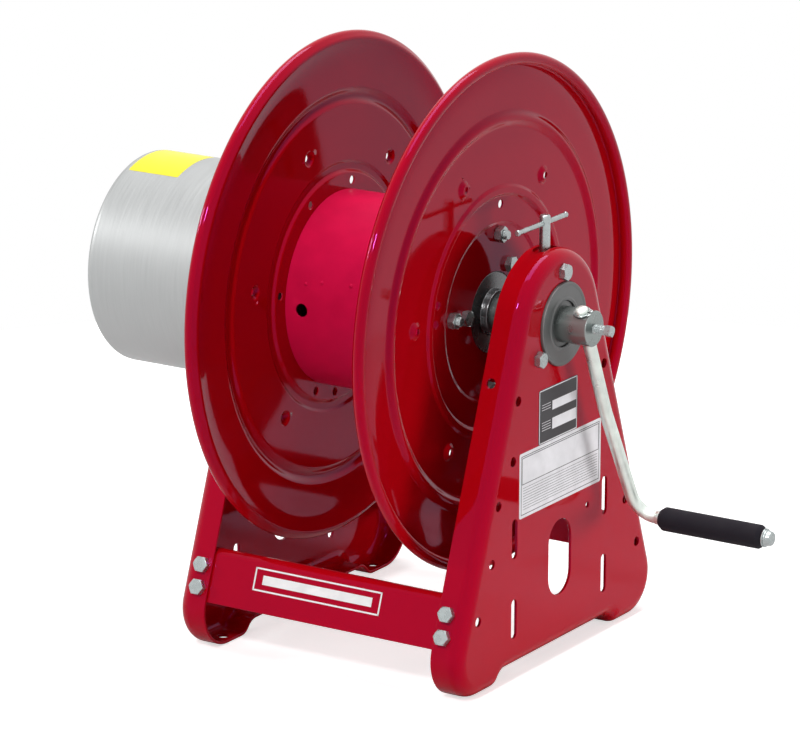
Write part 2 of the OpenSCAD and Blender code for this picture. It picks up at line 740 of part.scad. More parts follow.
module disc_profile() {
    polygon(concat(disc_inside, [for (i = [len(disc_inside) - 1:-1:0])
        [disc_inside[i][0], disc_inside[i][1] + disc_t]]));
    translate([rim_r, rim_x]) difference() {
        circle(r = rim_bead_r);
        circle(r = rim_bead_r - disc_t);
        translate([-rim_bead_r - cut, -rim_offset]) square([disc_t + 2 * cut, 0.6 * rim_offset]);
    }
}

// A flare stands outwards from the web, and its bore widens towards the drum
module flare() cylinder(d1 = flare_d, d2 = flare_bore + disc_t, h = disc_t + flare_h);

module flare_cut() {
    h = disc_t + flare_h;
    lean = (flare_d - 2 * disc_t - flare_bore) / h;
    translate([0, 0, -cut]) cylinder(d1 = flare_d - 2 * disc_t + cut * lean,
        d2 = flare_bore - cut * lean, h = h + 2 * cut);
}

module at_flares(a0) round_shaft(flare_count, a0)
    translate([flare_r, 0, web_in_x]) children();

module disc(flare_phase, side_holes) on_shaft(0) difference() {
    union() {
        rotate_extrude() disc_profile();
        at_flares(flare_phase) flare();
    }
    at_flares(flare_phase) flare_cut();
    for (a = side_holes) rotate([0, 0, a]) translate([side_hole_r, 0, seat_x - cut])
        cylinder(d = side_hole_d, h = disc_t + 2 * cut);
    round_shaft(tie_count, tie_phase) translate([tie_r, 0, hub_x - cut])
        cylinder(d = tie_d + 2 * hole_clear, h = disc_t + 2 * cut);
    round_shaft(hub_bolt_count, hub_phase) translate([hub_pcd / 2, 0, hub_x - cut])
        cylinder(d = bolt_d + 2 * hole_clear, h = disc_t + 2 * cut);
}

module disc_crank() color("firebrick") reel_place() disc(flare_phase_crank, side_holes_crank);
module disc_housing() color("firebrick") reel_place() housing_side()
    disc(flare_phase_housing, side_holes_housing);

module drum_shell() color("crimson") reel_place() difference() {
    on_shaft(-drum_l / 2) difference() {
        cylinder(d = drum_d, h = drum_l);
        translate([0, 0, -cut]) cylinder(r = drum_in_r, h = drum_l + 2 * cut);
    }
    translate([-outlet_x, -drum_in_r + cut, shaft_z]) rotate([90, 0, 0])
        cylinder(d = outlet_d, h = drum_wall + 2 * cut);
}

module hub() on_shaft(0) difference() {
    union() {
        translate([0, 0, hub_x - hub_flange_t]) cylinder(d = hub_flange_d, h = hub_flange_t);
        translate([0, 0, hub_x - cut]) cylinder(d = hub_spigot_d, h = disc_t + cut);
        translate([0, 0, hub_x - cut]) cylinder(d = hub_collar_d, h = hub_collar_l + cut);
    }
    translate([0, 0, hub_x - hub_flange_t - cut])
        cylinder(d = shaft_d, h = hub_flange_t + hub_collar_l + 2 * cut);
    round_shaft(hub_bolt_count, hub_phase) translate([hub_pcd / 2, 0, hub_x - hub_flange_t - cut])
        cylinder(d = bolt_d + 2 * hole_clear, h = hub_flange_t + 2 * cut);
}

module hub_crank() color("dimgray") reel_place() hub();
module hub_housing() color("dimgray") reel_place() housing_side() hub();

module at_hub_bolts(x) reel_place() for (m = [0, 1]) mirror([m, 0, 0]) on_shaft(x)
    round_shaft(hub_bolt_count, hub_phase) translate([hub_pcd / 2, 0, 0]) children();

module hub_bolts() color("silver") at_hub_bolts(hub_x + disc_t) rotate([180, 0, 0])
    hex_bolt(disc_t + hub_flange_t + bolt_nut_h + 1.5);
module hub_nuts() color("silver") at_hub_bolts(hub_x - hub_flange_t) rotate([180, 0, 0])
    hex_nut(bolt_d, bolt_nut_h);

module tie_rods() color("silver") reel_place() on_shaft(-tie_end_x) round_shaft(tie_count, tie_phase)
    translate([tie_r, 0, 0]) cylinder(d = tie_d, h = 2 * tie_end_x);
module tie_nuts() color("silver") reel_place() for (m = [0, 1]) mirror([m, 0, 0])
    for (x = [hub_x + disc_t, hub_x - bolt_nut_h]) on_shaft(x)
        round_shaft(tie_count, tie_phase) translate([tie_r, 0, 0]) hex_nut(tie_d, bolt_nut_h);

// ---- Shaft and crank ----------------------------------------------------------------

module shaft() color("gray") difference() {
    on_shaft(-shaft_end_x) cylinder(d = shaft_d, h = shaft_end_x + plate_x + shaft_out);
    on_shaft(-shaft_end_x - cut) cylinder(d = shaft_bore, h = shaft_end_x + cut);
    // the lead leaves the bore inside the drum
    reel_place() translate([-outlet_x, 0, shaft_z]) rotate([90, 0, 0])
        cylinder(d = outlet_d, h = shaft_d);
    crank_place() cylinder(d = rod_d + 2 * seat_clear, h = 2 * shaft_d, center = true);
    on_shaft(rod_x) cylinder(d = set_screw_d + 2 * seat_clear, h = shaft_out);
}

// +Z of the crank's own frame points from the shaft to the handle
module crank_place() translate([rod_x, 0, shaft_z]) rotate([180 + crank_lean, 0, 0]) children();

// A bend of a rod from +Z towards +X
module rod_bend(r, a) translate([r, 0, 0]) mirror([1, 0, 0]) rotate([90, 0, 0])
    rotate_extrude(angle = a) translate([r, 0]) circle(d = rod_d, $fn = round_fn);

module crank_rod() color("silver") crank_place() {
    kink = rod_kink;
    top = shaft_r + rod_top;
    difference() {
        union() {
            translate([0, 0, rod_dome - top]) cylinder(d = rod_d, h = top - rod_dome + rod_straight);
            translate([0, 0, -top]) cylinder(d1 = rod_d - 2 * rod_dome, d2 = rod_d, h = rod_dome);
        }
        // groove of the retaining ring
        translate([0, 0, -shaft_r - retainer_t - seat_clear]) difference() {
            cylinder(d = 2 * rod_d, h = retainer_t);
            translate([0, 0, -cut]) cylinder(d = retainer_in_d, h = retainer_t + 2 * cut);
        }
    }
    translate([0, 0, rod_straight]) {
        rod_bend(rod_kink_r, kink);
        translate([rod_kink_r * (1 - cos(kink)), 0, rod_kink_r * sin(kink)]) rotate([0, kink, 0]) {
            cylinder(d = rod_d, h = rod_second_l);
            translate([0, 0, rod_second_l]) {
                rod_bend(rod_bend_r, 90 - kink);
                translate([rod_bend_r * (1 - sin(kink)), 0, rod_bend_r * cos(kink)])
                    rotate([0, 90 - kink, 0]) {
                        cylinder(d = rod_d, h = rod_end_l);
                        translate([0, 0, -rod_swage_back]) cylinder(d = rod_d + 2 * rod_swage_h,
                            h = rod_swage_back + grip_gap - end_clear);
                    }
            }
        }
    }
}

// Places a shape round the handle's axis, built along +Z from x
module on_handle(x) crank_place() translate([x - rod_x, 0, crank_r]) rotate([0, 90, 0]) children();

module crank_retainer() color("silver") crank_place()
    translate([0, 0, -shaft_r - retainer_t - seat_clear]) {
        rotate([0, 0, 20]) rotate_extrude(angle = 320)
            translate([retainer_in_d / 2 + seat_clear, 0]) square([retainer_w, retainer_t]);
        for (a = [20, -20]) rotate([0, 0, a]) translate([retainer_in_d / 2 + retainer_w, 0, 0])
            cylinder(d = retainer_w, h = retainer_t);
    }

module set_screw() color("silver") {
    on_shaft(rod_x + rod_d / 2) cylinder(d = set_screw_d,
        h = rod_in - rod_d / 2 + set_screw_out);
    on_shaft(plate_x + shaft_out + set_screw_out) rotate([0, 0, set_head_turn])
        translate([-set_head_af / 2, -set_head_af / 2, 0]) cube([set_head_af, set_head_af, set_head_l]);
}

module grip() color([0.08, 0.07, 0.1]) on_handle(grip_x) difference() {
    union() {
        cylinder(d1 = grip_d - 2 * grip_chamfer * 0.7, d2 = grip_d, h = grip_chamfer);
        translate([0, 0, grip_chamfer]) cylinder(d = grip_d, h = grip_l - 2 * grip_chamfer);
        translate([0, 0, grip_l - grip_chamfer])
            cylinder(d1 = grip_d, d2 = grip_d - 2 * grip_chamfer * 0.7, h = grip_chamfer);
    }
    translate([0, 0, -cut]) cylinder(d = rod_d + 2 * turn_clear, h = grip_l + 2 * cut);
}

module grip_washer() color("silver") on_handle(grip_x + grip_l + end_clear) difference() {
    cylinder(d = grip_washer_d, h = grip_washer_t);
    translate([0, 0, -cut]) cylinder(d = rod_d + 2 * seat_clear, h = grip_washer_t + 2 * cut);
}

module grip_cap() color("silver") on_handle(grip_x + grip_l + end_clear + grip_washer_t)
    difference() {
        rotate_extrude() polygon([[0, 0], [grip_washer_d * 0.46, 0], [rod_d * 0.6, grip_cap_l * 0.55],
            [rod_d * 0.45, grip_cap_l], [0, grip_cap_l]]);
        translate([0, 0, -cut]) cylinder(d = rod_d + 2 * seat_clear, h = rod_in_cap + cut);
    }

// ---- Housing ------------------------------------------------------------------------

module housing_back() color("lightgray") housing_side() on_shaft(plate_x) difference() {
    rotate_extrude() polygon([
        [shell_d / 2 + hole_clear, 0], [cover_in_r - seat_clear, 0],
        [cover_in_r - seat_clear, back_rim], [cover_in_r - seat_clear - back_t, back_rim],
        [cover_in_r - seat_clear - back_t, back_t], [shell_d / 2 + hole_clear, back_t]]);
    round_shaft(bearing_bolts, 180) translate([bearing_pcd / 2, 0, -cut])
        cylinder(d = bolt_d + 2 * hole_clear, h = back_t + 2 * cut);
    at_cover_screws() cylinder(d = screw_d + 2 * seat_clear, h = 4 * back_t, center = true);
}

// Radial screws through the cover into the back's rim, +Z outwards
module at_cover_screws() round_shaft(cover_screws_n, 45)
    translate([cover_in_r, 0, back_rim / 2 + back_t / 2]) rotate([0, 90, 0]) children();

module housing_cover() color("silver") housing_side() on_shaft(plate_x) difference() {
    rotate_extrude() polygon(concat(
        [[cover_in_r, 0], [housing_d / 2, 0]],
        arc([housing_d / 2 - housing_corner, housing_l - housing_corner], housing_corner,
            0, 90, corner_steps),
        [[0, housing_l], [0, housing_l - housing_t]],
        arc([housing_d / 2 - housing_corner, housing_l - housing_corner],
            housing_corner - housing_t, 90, 0, corner_steps)));
    at_cover_screws() cylinder(d = screw_d + 2 * hole_clear, h = 4 * back_t, center = true);
    at_gland() cylinder(d = gland_thread_d + 2 * hole_clear, h = 8 * housing_t, center = true);
}

module cover_screws() color("silver") housing_side() on_shaft(plate_x) at_cover_screws()
    translate([0, 0, housing_t]) {
        cylinder(d1 = screw_head_d, d2 = screw_head_d * 0.7, h = screw_head_h);
        translate([0, 0, -housing_t - back_t - 2]) cylinder(d = screw_d, h = housing_t + back_t + 2);
    }

// The gland sits under the housing, +Z outwards from the inside of the cover
module at_gland() translate([cover_in_r, 0, gland_in]) rotate([0, 90, 0]) children();

module cable_gland() color("dimgray") housing_side() on_shaft(plate_x) at_gland() difference() {
    union() {
        translate([0, 0, -gland_thread_l]) cylinder(d = gland_thread_d, h = gland_thread_l + gland_seat);
        translate([0, 0, gland_seat]) cylinder(d = gland_d, h = gland_hex_l, $fn = 6);
        translate([0, 0, gland_seat + gland_hex_l]) cylinder(d = gland_d * 0.82, h = gland_dome_l);
    }
    translate([0, 0, -gland_thread_l - cut])
        cylinder(d = gland_bore, h = gland_thread_l + gland_seat + gland_hex_l + gland_dome_l + 2 * cut);
}

module gland_nut() color("dimgray") housing_side() on_shaft(plate_x) at_gland()
    translate([0, 0, -gland_nut_h - gland_nut_back]) difference() {
        cylinder(d = gland_d, h = gland_nut_h, $fn = 6);
        translate([0, 0, -cut]) cylinder(d = gland_thread_d + 2 * seat_clear, h = gland_nut_h + 2 * cut);
    }

module ring_core() color("burlywood") housing_side() on_shaft(core_x) difference() {
    rotate_extrude() polygon(concat([[shaft_r, 0], [slip_d / 2 + 3, 0]],
        [for (i = [0:ring_count - 1]) let (z = core_edge + i * slip_pitch + (slip_pitch - slip_w) / 2)
            each [[slip_d / 2 + 3, z], [slip_d / 2 - 3, z], [slip_d / 2 - 3, z + slip_w],
                [slip_d / 2 + 3, z + slip_w]]],
        [[slip_d / 2 + 3, core_l], [shaft_r, core_l]]));
}

module at_rings() for (i = [0:ring_count - 1]) housing_side()
    on_shaft(core_x + core_edge + i * slip_pitch + (slip_pitch - slip_w) / 2) children();

module slip_rings() color("goldenrod") at_rings() difference() {
    translate([0, 0, seat_clear]) cylinder(d = slip_d, h = slip_w - 2 * seat_clear);
    translate([0, 0, -cut]) cylinder(r = slip_d / 2 - 3 + seat_clear, h = slip_w + 2 * cut);
}

// The brushes ride on the rings from the rear; +X of the local frame points to the rear
module at_brushes() at_rings() translate([0, 0, slip_w / 2]) rotate([0, 0, 90]) children();

module brushes() color([0.2, 0.2, 0.22]) at_brushes() difference() {
    translate([0, -brush_w / 2, -brush_t / 2]) cube([slip_d / 2 + brush_l, brush_w, brush_t]);
    translate([0, 0, -slip_w]) cylinder(r = slip_d / 2 + shoe_clear, h = 2 * slip_w);
}

module brush_springs() color("peru") at_brushes()
    translate([slip_d / 2 + brush_l, -brush_w / 2, -brush_t / 2]) {
        cube([spring_t, brush_w, brush_t]);
        translate([0, brush_w, 0]) cube([spring_t, spring_run, brush_t]);
    }

module brush_holder() color("burlywood") housing_side() on_shaft(core_x) rotate([0, 0, 90])
    difference() {
        translate([holder_x - holder_t, brush_w / 2 + spring_run - holder_w, -holder_over])
            cube([holder_t, holder_w, core_l + 2 * holder_over]);
        translate([post_x, post_y, -holder_over - cut])
            cylinder(d = post_d + 2 * seat_clear, h = core_l + 2 * holder_over + 2 * cut);
    }

module brush_posts() color("silver") housing_side() on_shaft(plate_x + back_t)
    rotate([0, 0, 90]) translate([post_x, post_y, 0])
        cylinder(d = post_d, h = core_gap - back_t + core_l + holder_over + 4);

module terminal_block() color("burlywood") housing_side() on_shaft(plate_x + back_t)
    rotate([0, 0, terminal_turn]) difference() {
        translate([terminal_r, -terminal_l / 2, 0]) cube([terminal_w, terminal_l, terminal_h]);
        for (i = [-1:1]) translate([terminal_r + terminal_w / 2, i * terminal_l / 3, terminal_h - 8])
            cylinder(d = 5, h = 8 + cut);
    }

// ---- Nodes --------------------------------------------------------------------------

side_plate_crank();
side_plate_housing();
stretcher_front();
stretcher_rear();
stretcher_bolts();
stretcher_nuts();
bearing_shell_outer_crank();
bearing_shell_inner_crank();
bearing_race_crank();
bearing_balls_crank();
bearing_bolts_crank();
bearing_nuts_crank();
bearing_shell_outer_housing();
bearing_shell_inner_housing();
bearing_race_housing();
bearing_balls_housing();
bearing_bolts_housing();
bearing_nuts_housing();
brake_block();
brake_shoe();
brake_screw();
tommy_bar();
shaft();
disc_crank();
disc_housing();
drum_shell();
hub_crank();
hub_housing();
hub_bolts();
hub_nuts();
tie_rods();
tie_nuts();
inner_race_crank();
inner_race_housing();
crank_rod();
crank_retainer();
set_screw();
grip();
grip_washer();
grip_cap();
housing_back();
housing_cover();
cover_screws();
ring_core();
slip_rings();
brush_posts();
brush_holder();
brush_springs();
brushes();
terminal_block();
cable_gland();
gland_nut();
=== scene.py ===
"""Looks of a hand-crank reel: two pressed side plates carry a drum between two stamped discs.

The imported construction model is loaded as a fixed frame, and every piece made here rides on
one of its bodies. All shapes are worked out in millimetres and put into meshes in metres.
X runs along the shaft towards the crank, -Y is the front and Z is up.
"""

from __future__ import annotations

import json
import logging
import math
from dataclasses import dataclass
from enum import Enum

import bmesh
import bpy
import numpy as np
from mathutils import Matrix, Vector

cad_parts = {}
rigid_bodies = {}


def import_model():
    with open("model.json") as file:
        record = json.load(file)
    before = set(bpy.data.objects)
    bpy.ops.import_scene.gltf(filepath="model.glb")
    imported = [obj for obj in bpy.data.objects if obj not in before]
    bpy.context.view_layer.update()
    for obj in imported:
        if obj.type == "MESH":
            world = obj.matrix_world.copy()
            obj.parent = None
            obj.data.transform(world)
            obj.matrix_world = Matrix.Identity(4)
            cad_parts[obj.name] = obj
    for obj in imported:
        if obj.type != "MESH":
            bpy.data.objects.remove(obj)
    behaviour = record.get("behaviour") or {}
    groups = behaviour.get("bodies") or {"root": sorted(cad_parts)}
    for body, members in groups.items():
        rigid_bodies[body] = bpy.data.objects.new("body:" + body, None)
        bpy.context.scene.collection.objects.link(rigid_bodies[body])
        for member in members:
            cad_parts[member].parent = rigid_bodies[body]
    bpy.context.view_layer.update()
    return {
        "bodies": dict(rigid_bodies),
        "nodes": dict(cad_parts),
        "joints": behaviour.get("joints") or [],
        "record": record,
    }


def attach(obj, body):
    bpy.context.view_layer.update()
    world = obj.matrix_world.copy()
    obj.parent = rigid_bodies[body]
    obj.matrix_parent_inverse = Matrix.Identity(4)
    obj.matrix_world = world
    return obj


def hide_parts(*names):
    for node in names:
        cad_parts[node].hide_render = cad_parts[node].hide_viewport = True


Piece = bpy.types.Object
NodeTree = bpy.types.NodeTree
Socket = bpy.types.NodeSocket
Pair = tuple[float, float]
Triple = tuple[float, float, float]
Numbers = tuple[float, ...]

# Millimetres in metres, the shaft's height, and how far the reel sits towards the housing
MM = 0.001
SHAFT_Z = 332.0
REEL_SHIFT = 4.7
# Angles of the first hub bolt, tie rod and bearing bolt, in degrees from straight down
HUB_PHASE = 144.3
TIE_PHASE = 173.5
BEARING_PHASE = 180.0
# Radius of the circle that the bolts of hubs and bearings stand on
BOLT_CIRCLE = 50.5
SIDES = ((1, "crank"), (-1, "housing"))
# Play round a turned piece in its hole, and how far a cutting tool stands out of a piece
FIT = 0.05
PROUD = 1.0
# Points closer than this are one, and edges shorter than this vanish, in metres
MERGE = 1e-6
SLIVER = 1e-7
# Corners that bend by less than this, in radians, aren't rounded
STRAIGHT = 1e-3
# Edges that bend by more than this stay sharp: on sheet and turned pieces, and on heads
SMOOTH_ANGLE = math.radians(32)
HEAD_ANGLE = math.radians(18)
log = logging.getLogger("reel")


class Body(str, Enum):
    """Names of the bodies that the pieces ride on."""

    FRAME = "frame"
    REEL = "reel"
    GRIP = "grip"
    SCREW = "brake_screw"
    BAR = "tommy_bar"


# ---- Mesh tools -----------------------------------------------------------------------


def make_object(name: str, points: np.ndarray, faces: list) -> Piece:
    """Makes a mesh object at the origin, merges its doubles and turns its faces outwards.

    Args:
        name: Name of the object and of its mesh.
        points: Array of shape (..., 3) in millimetres.
        faces: Lists of indices into points.

    Returns:
        The linked object, shaded smooth apart from its sharp edges.
    """
    mesh = bpy.data.meshes.new(name)
    mesh.from_pydata((points.reshape(-1, 3) * MM).tolist(), [], faces)
    obj = bpy.data.objects.new(name, mesh)
    bpy.context.scene.collection.objects.link(obj)
    clean(obj)
    return obj


def clean(obj: Piece) -> None:
    """Merges doubles, removes slivers, turns faces outwards and marks the sharp edges."""
    work = bmesh.new()
    work.from_mesh(obj.data)
    bmesh.ops.remove_doubles(work, verts=work.verts, dist=MERGE)
    bmesh.ops.dissolve_degenerate(work, edges=work.edges, dist=SLIVER)
    bmesh.ops.recalc_face_normals(work, faces=work.faces)
    work.to_mesh(obj.data)
    work.free()
    obj.data.shade_smooth()
    obj.data.set_sharp_from_angle(angle=SMOOTH_ANGLE)


def ring_faces(rows: int, columns: int, closed: bool = False, capped: bool = False) -> list:
    """Faces between rings of points that are stored ring by ring.

    Args:
        rows: Number of rings.
        columns: Number of points in a ring.
        closed: Whether the last ring joins the first.
        capped: Whether the first and the last ring are filled.

    Returns:
        Lists of indices.
    """
    i = np.arange(rows if closed else rows - 1)[:, None]
    j = np.arange(columns)[None, :]
    a, b = i * columns + j, i * columns + (j + 1) % columns
    c, d = ((i + 1) % rows) * columns + (j + 1) % columns, ((i + 1) % rows) * columns + j
    faces = np.stack([a, b, c, d], axis=-1).reshape(-1, 4).tolist()
    if capped:
        faces += [list(range(columns)), list(range((rows - 1) * columns, rows * columns))]
    return faces


def circle(steps: int) -> np.ndarray:
    """Angles of a whole circle in equal steps, in radians, without the last one."""
    return np.linspace(0, 2 * np.pi, steps, endpoint=False)


def round_points(radius: np.ndarray, angle: np.ndarray, height: np.ndarray) -> np.ndarray:
    """Points (r cos t, r sin t, h) from arrays of radius, angle and height."""
    flat = radius * np.cos(angle), radius * np.sin(angle), height
    return np.stack(np.broadcast_arrays(*flat), -1)


def arc(centre: Pair, radius: float, start: float, end: float, steps: int) -> np.ndarray:
    """Points of an arc from one angle to another, in degrees, ends included."""
    a = np.radians(np.linspace(start, end, steps + 1))
    return np.stack([centre[0] + radius * np.cos(a), centre[1] + radius * np.sin(a)], -1)


def fillet(corners: np.ndarray | list, radius: float | Numbers, steps: int = 6,
           closed: bool = False) -> np.ndarray:
    """Rounds the corners of a polyline with arcs that touch both of their sides.

    An arc of radius r at a corner that bends by angle b starts r tan(b / 2) before it, and
    that length is held to under half of the shorter side.

    Args:
        corners: Array of shape (n, 2).
        radius: One radius, or one for each corner.
        steps: Number of steps in an arc.
        closed: Whether the last corner joins the first.

    Returns:
        The rounded polyline.
    """
    corners = np.asarray(corners, float)
    n = len(corners)
    radii = np.broadcast_to(np.asarray(radius, float), n)
    made = []
    for i, p in enumerate(corners):
        if not closed and i in (0, n - 1) or radii[i] <= 0:
            made.append(p[None, :])
            continue
        before, after = corners[i - 1] - p, corners[(i + 1) % n] - p
        la, lb = np.linalg.norm(before), np.linalg.norm(after)
        u, v = before / la, after / lb
        half = 0.5 * np.arccos(np.clip(u @ v, -1, 1))
        if np.pi / 2 - half < STRAIGHT:
            made.append(p[None, :])
            continue
        run = min(radii[i] / np.tan(half), 0.49 * min(la, lb))
        r = run * np.tan(half)
        middle = p + (u + v) / np.linalg.norm(u + v) * r / np.sin(half)
        a0 = math.atan2(*(p + u * run - middle)[::-1])
        a1 = math.atan2(*(p + v * run - middle)[::-1])
        turn = (a1 - a0 + np.pi) % (2 * np.pi) - np.pi
        a = a0 + turn * np.linspace(0, 1, steps + 1)
        made.append(middle + r * np.stack([np.cos(a), np.sin(a)], -1))
    return np.concatenate(made)


def densify(line: np.ndarray, step: float) -> np.ndarray:
    """Adds points to a polyline, so that none of its pieces is longer than a step.

    Args:
        line: Array of shape (n, k). Lengths are measured in its first two columns.
        step: The longest piece.

    Returns:
        The denser polyline, with every column worked out between the points.
    """
    gaps = np.linalg.norm(np.diff(line[:, :2], axis=0), axis=1)
    counts = np.maximum(1, np.ceil(gaps / step)).astype(int)
    parts = [np.linspace(i, i + 1, count, endpoint=False) for i, count in enumerate(counts)]
    index = np.concatenate([*parts, [len(line) - 1]])
    return np.stack([np.interp(index, np.arange(len(line)), column) for column in line.T], -1)


def cut(target: Piece, *tools: Piece) -> None:
    """Cuts the tools out of a piece with an exact boolean and deletes them."""
    joined = join(tools, "cutters") if len(tools) > 1 else tools[0]
    change = target.modifiers.new("cut", "BOOLEAN")
    change.operation, change.solver, change.object = "DIFFERENCE", "EXACT", joined
    change.use_self = False
    graph = bpy.context.evaluated_depsgraph_get()
    graph.update()
    mesh = bpy.data.meshes.new_from_object(target.evaluated_get(graph))
    target.modifiers.clear()
    target.data = mesh
    mesh.name = target.name
    bpy.data.objects.remove(joined)
    mesh.shade_smooth()
    mesh.set_sharp_from_angle(angle=SMOOTH_ANGLE)


def join(parts: list[Piece] | tuple, name: str) -> Piece:
    """Joins mesh objects that sit at the origin into one, and keeps their sharp edges.

    Args:
        parts: The objects, which are deleted.
        name: Name of the joined object.

    Returns:
        The joined object.
    """
    work = bmesh.new()
    for part in parts:
        work.from_mesh(part.data)
    mesh = bpy.data.meshes.new(name)
    work.to_mesh(mesh)
    work.free()
    for part in parts:
        bpy.data.objects.remove(part)
    obj = bpy.data.objects.new(name, mesh)
    bpy.context.scene.collection.objects.link(obj)
    return obj


def flat_shaded(obj: Piece) -> Piece:
    """Weights the shading by face area, so that flat faces stay flat beside their bends."""
    change = obj.modifiers.new("weighted", "WEIGHTED_NORMAL")
    change.keep_sharp, change.weight = True, 80
    return obj


def pierce(obj: Piece, tools: list[Piece]) -> Piece:
    """Cuts the tools out of a piece of sheet, cleans it and shades it flat."""
    cut(obj, *tools)
    clean(obj)
    return flat_shaded(obj)


@dataclass(frozen=True)
class Place:
    """A right-handed place in space: an origin and the directions of its three axes."""

    origin: Triple
    x_axis: Triple
    z_axis: Triple

    def along(self, points: np.ndarray | list) -> np.ndarray:
        """Turns directions of this place, of shape (..., 3), into directions of the frame."""
        x = np.array(self.x_axis, float)
        z = np.array(self.z_axis, float)
        z /= np.linalg.norm(z)
        x = x - z * (x @ z)
        x /= np.linalg.norm(x)
        return np.asarray(points, float) @ np.stack([x, np.cross(z, x), z])

    def world(self, points: np.ndarray) -> np.ndarray:
        """Turns points of this place, of shape (..., 3), into points of the frame."""
        return np.array(self.origin) + self.along(points)

    def at(self, x: float, y: float, z: float) -> Place:
        """The place moved by a step along its own axes."""
        return Place(tuple(self.world(np.array([x, y, z]))), self.x_axis, self.z_axis)

    def turned(self) -> Place:
        """The place with its Z axis the other way, turned over about its X axis."""
        return Place(self.origin, self.x_axis, tuple(-np.array(self.z_axis)))


# The shaft's line, with Z towards the crank
SHAFT_LINE = Place((0, 0, SHAFT_Z), (0, 1, 0), (1, 0, 0))


def lathe(place: Place, profile: np.ndarray, turns: int = 32, name: str = "lathe",
          closed: bool = False) -> Piece:
    """Carries a profile of (radius, height) round the Z axis of a place.

    Args:
        place: Where the piece stands.
        profile: Array of shape (n, 2); an open profile starts and ends on the axis.
        turns: Number of steps round the circle.
        name: Name of the piece.
        closed: Whether the profile is a closed loop.

    Returns:
        The new object.
    """
    points = round_points(profile[:, :1], circle(turns), profile[:, 1:])
    return make_object(name, place.world(points), ring_faces(len(profile), turns, closed))


def sweep(path: np.ndarray, normals: np.ndarray, side: np.ndarray, section: np.ndarray,
          name: str) -> Piece:
    """Carries a closed section along an open path and fills both ends.

    The point of the section (u, v) becomes p + u n + v b at a path point p with the normal n
    and the side direction b.

    Args:
        path: Path points, of shape (m, 3).
        normals: Unit directions of the section's first axis, of shape (m, 3).
        side: Unit direction of its second axis, of shape (3,).
        section: Section points, of shape (k, 2), or (m, k, 2) where it changes on the way.
        name: Name of the piece.

    Returns:
        The new object.
    """
    u, v = section[..., 0][..., None], section[..., 1][..., None]
    points = path[:, None] + u * normals[:, None] + v * side
    return make_object(name, points, ring_faces(*points.shape[:2], capped=True))


def punch(place: Place, width: float, length: float, depth: float, ease: float = 0.35,
          steps: int = 14) -> Piece:
    """A tool that punches a slot with round ends and eased edges through a sheet.

    Its outline is that of a slot, moved outwards by the same distance at every point near
    the two faces of the sheet.

    Args:
        place: Middle of the slot on one face, with Z into the sheet and the length on Y.
        width: Width of the slot, which is the diameter of a round hole.
        length: Length of the slot over its round ends, or 0 for a round hole.
        depth: Thickness of the sheet.
        ease: How far the edges are eased.
        steps: Steps in each half circle.

    Returns:
        The tool.
    """
    a = np.concatenate([np.linspace(0, np.pi, steps + 1), np.linspace(np.pi, 2 * np.pi, steps + 1)])
    if length <= width:
        a = circle(2 * steps)
    middle = np.where(np.arange(len(a)) <= steps, 1, -1) * max(length - width, 0) / 2
    rows = np.array([[ease + PROUD, -PROUD], [ease, 0], [0, ease], [0, depth - ease],
                     [ease, depth], [ease + PROUD, depth + PROUD]])
    points = round_points(width / 2 + rows[:, :1], a, rows[:, 1:])
    points[..., 1] += middle
    faces = ring_faces(len(rows), len(a), capped=True)
    return make_object("punch", place.world(points), faces)


def shank(radius: float, low: float, high: float, ease: float = 0.8) -> np.ndarray:
    """Profile of a plain rod with chamfered ends, as radius and height."""
    return np.array([[0, low], [radius - ease, low], [radius, low + ease],
                     [radius, high - ease], [radius - ease, high], [0, high]])


def ring_angles(count: int, first: float) -> np.ndarray:
    """Angles of places spread evenly round a circle, in radians."""
    return np.radians(first + 360 / count * np.arange(count))


def along_shaft(x: float, radius: float, angle: float, way: float) -> Place:
    """A place round the shaft, its Z axis along the shaft and its X axis away from it.

    Args:
        x: Distance along the shaft.
        radius: Distance from the shaft's axis.
        angle: Angle in radians from the downward line towards the back.
        way: 1 where Z points to the crank, -1 where it points to the housing.

    Returns:
        The place.
    """
    y, z = math.sin(angle), -math.cos(angle)
    return Place((x, radius * y, SHAFT_Z + radius * z), (0, y, z), (way, 0, 0))


# ---- Fasteners ------------------------------------------------------------------------


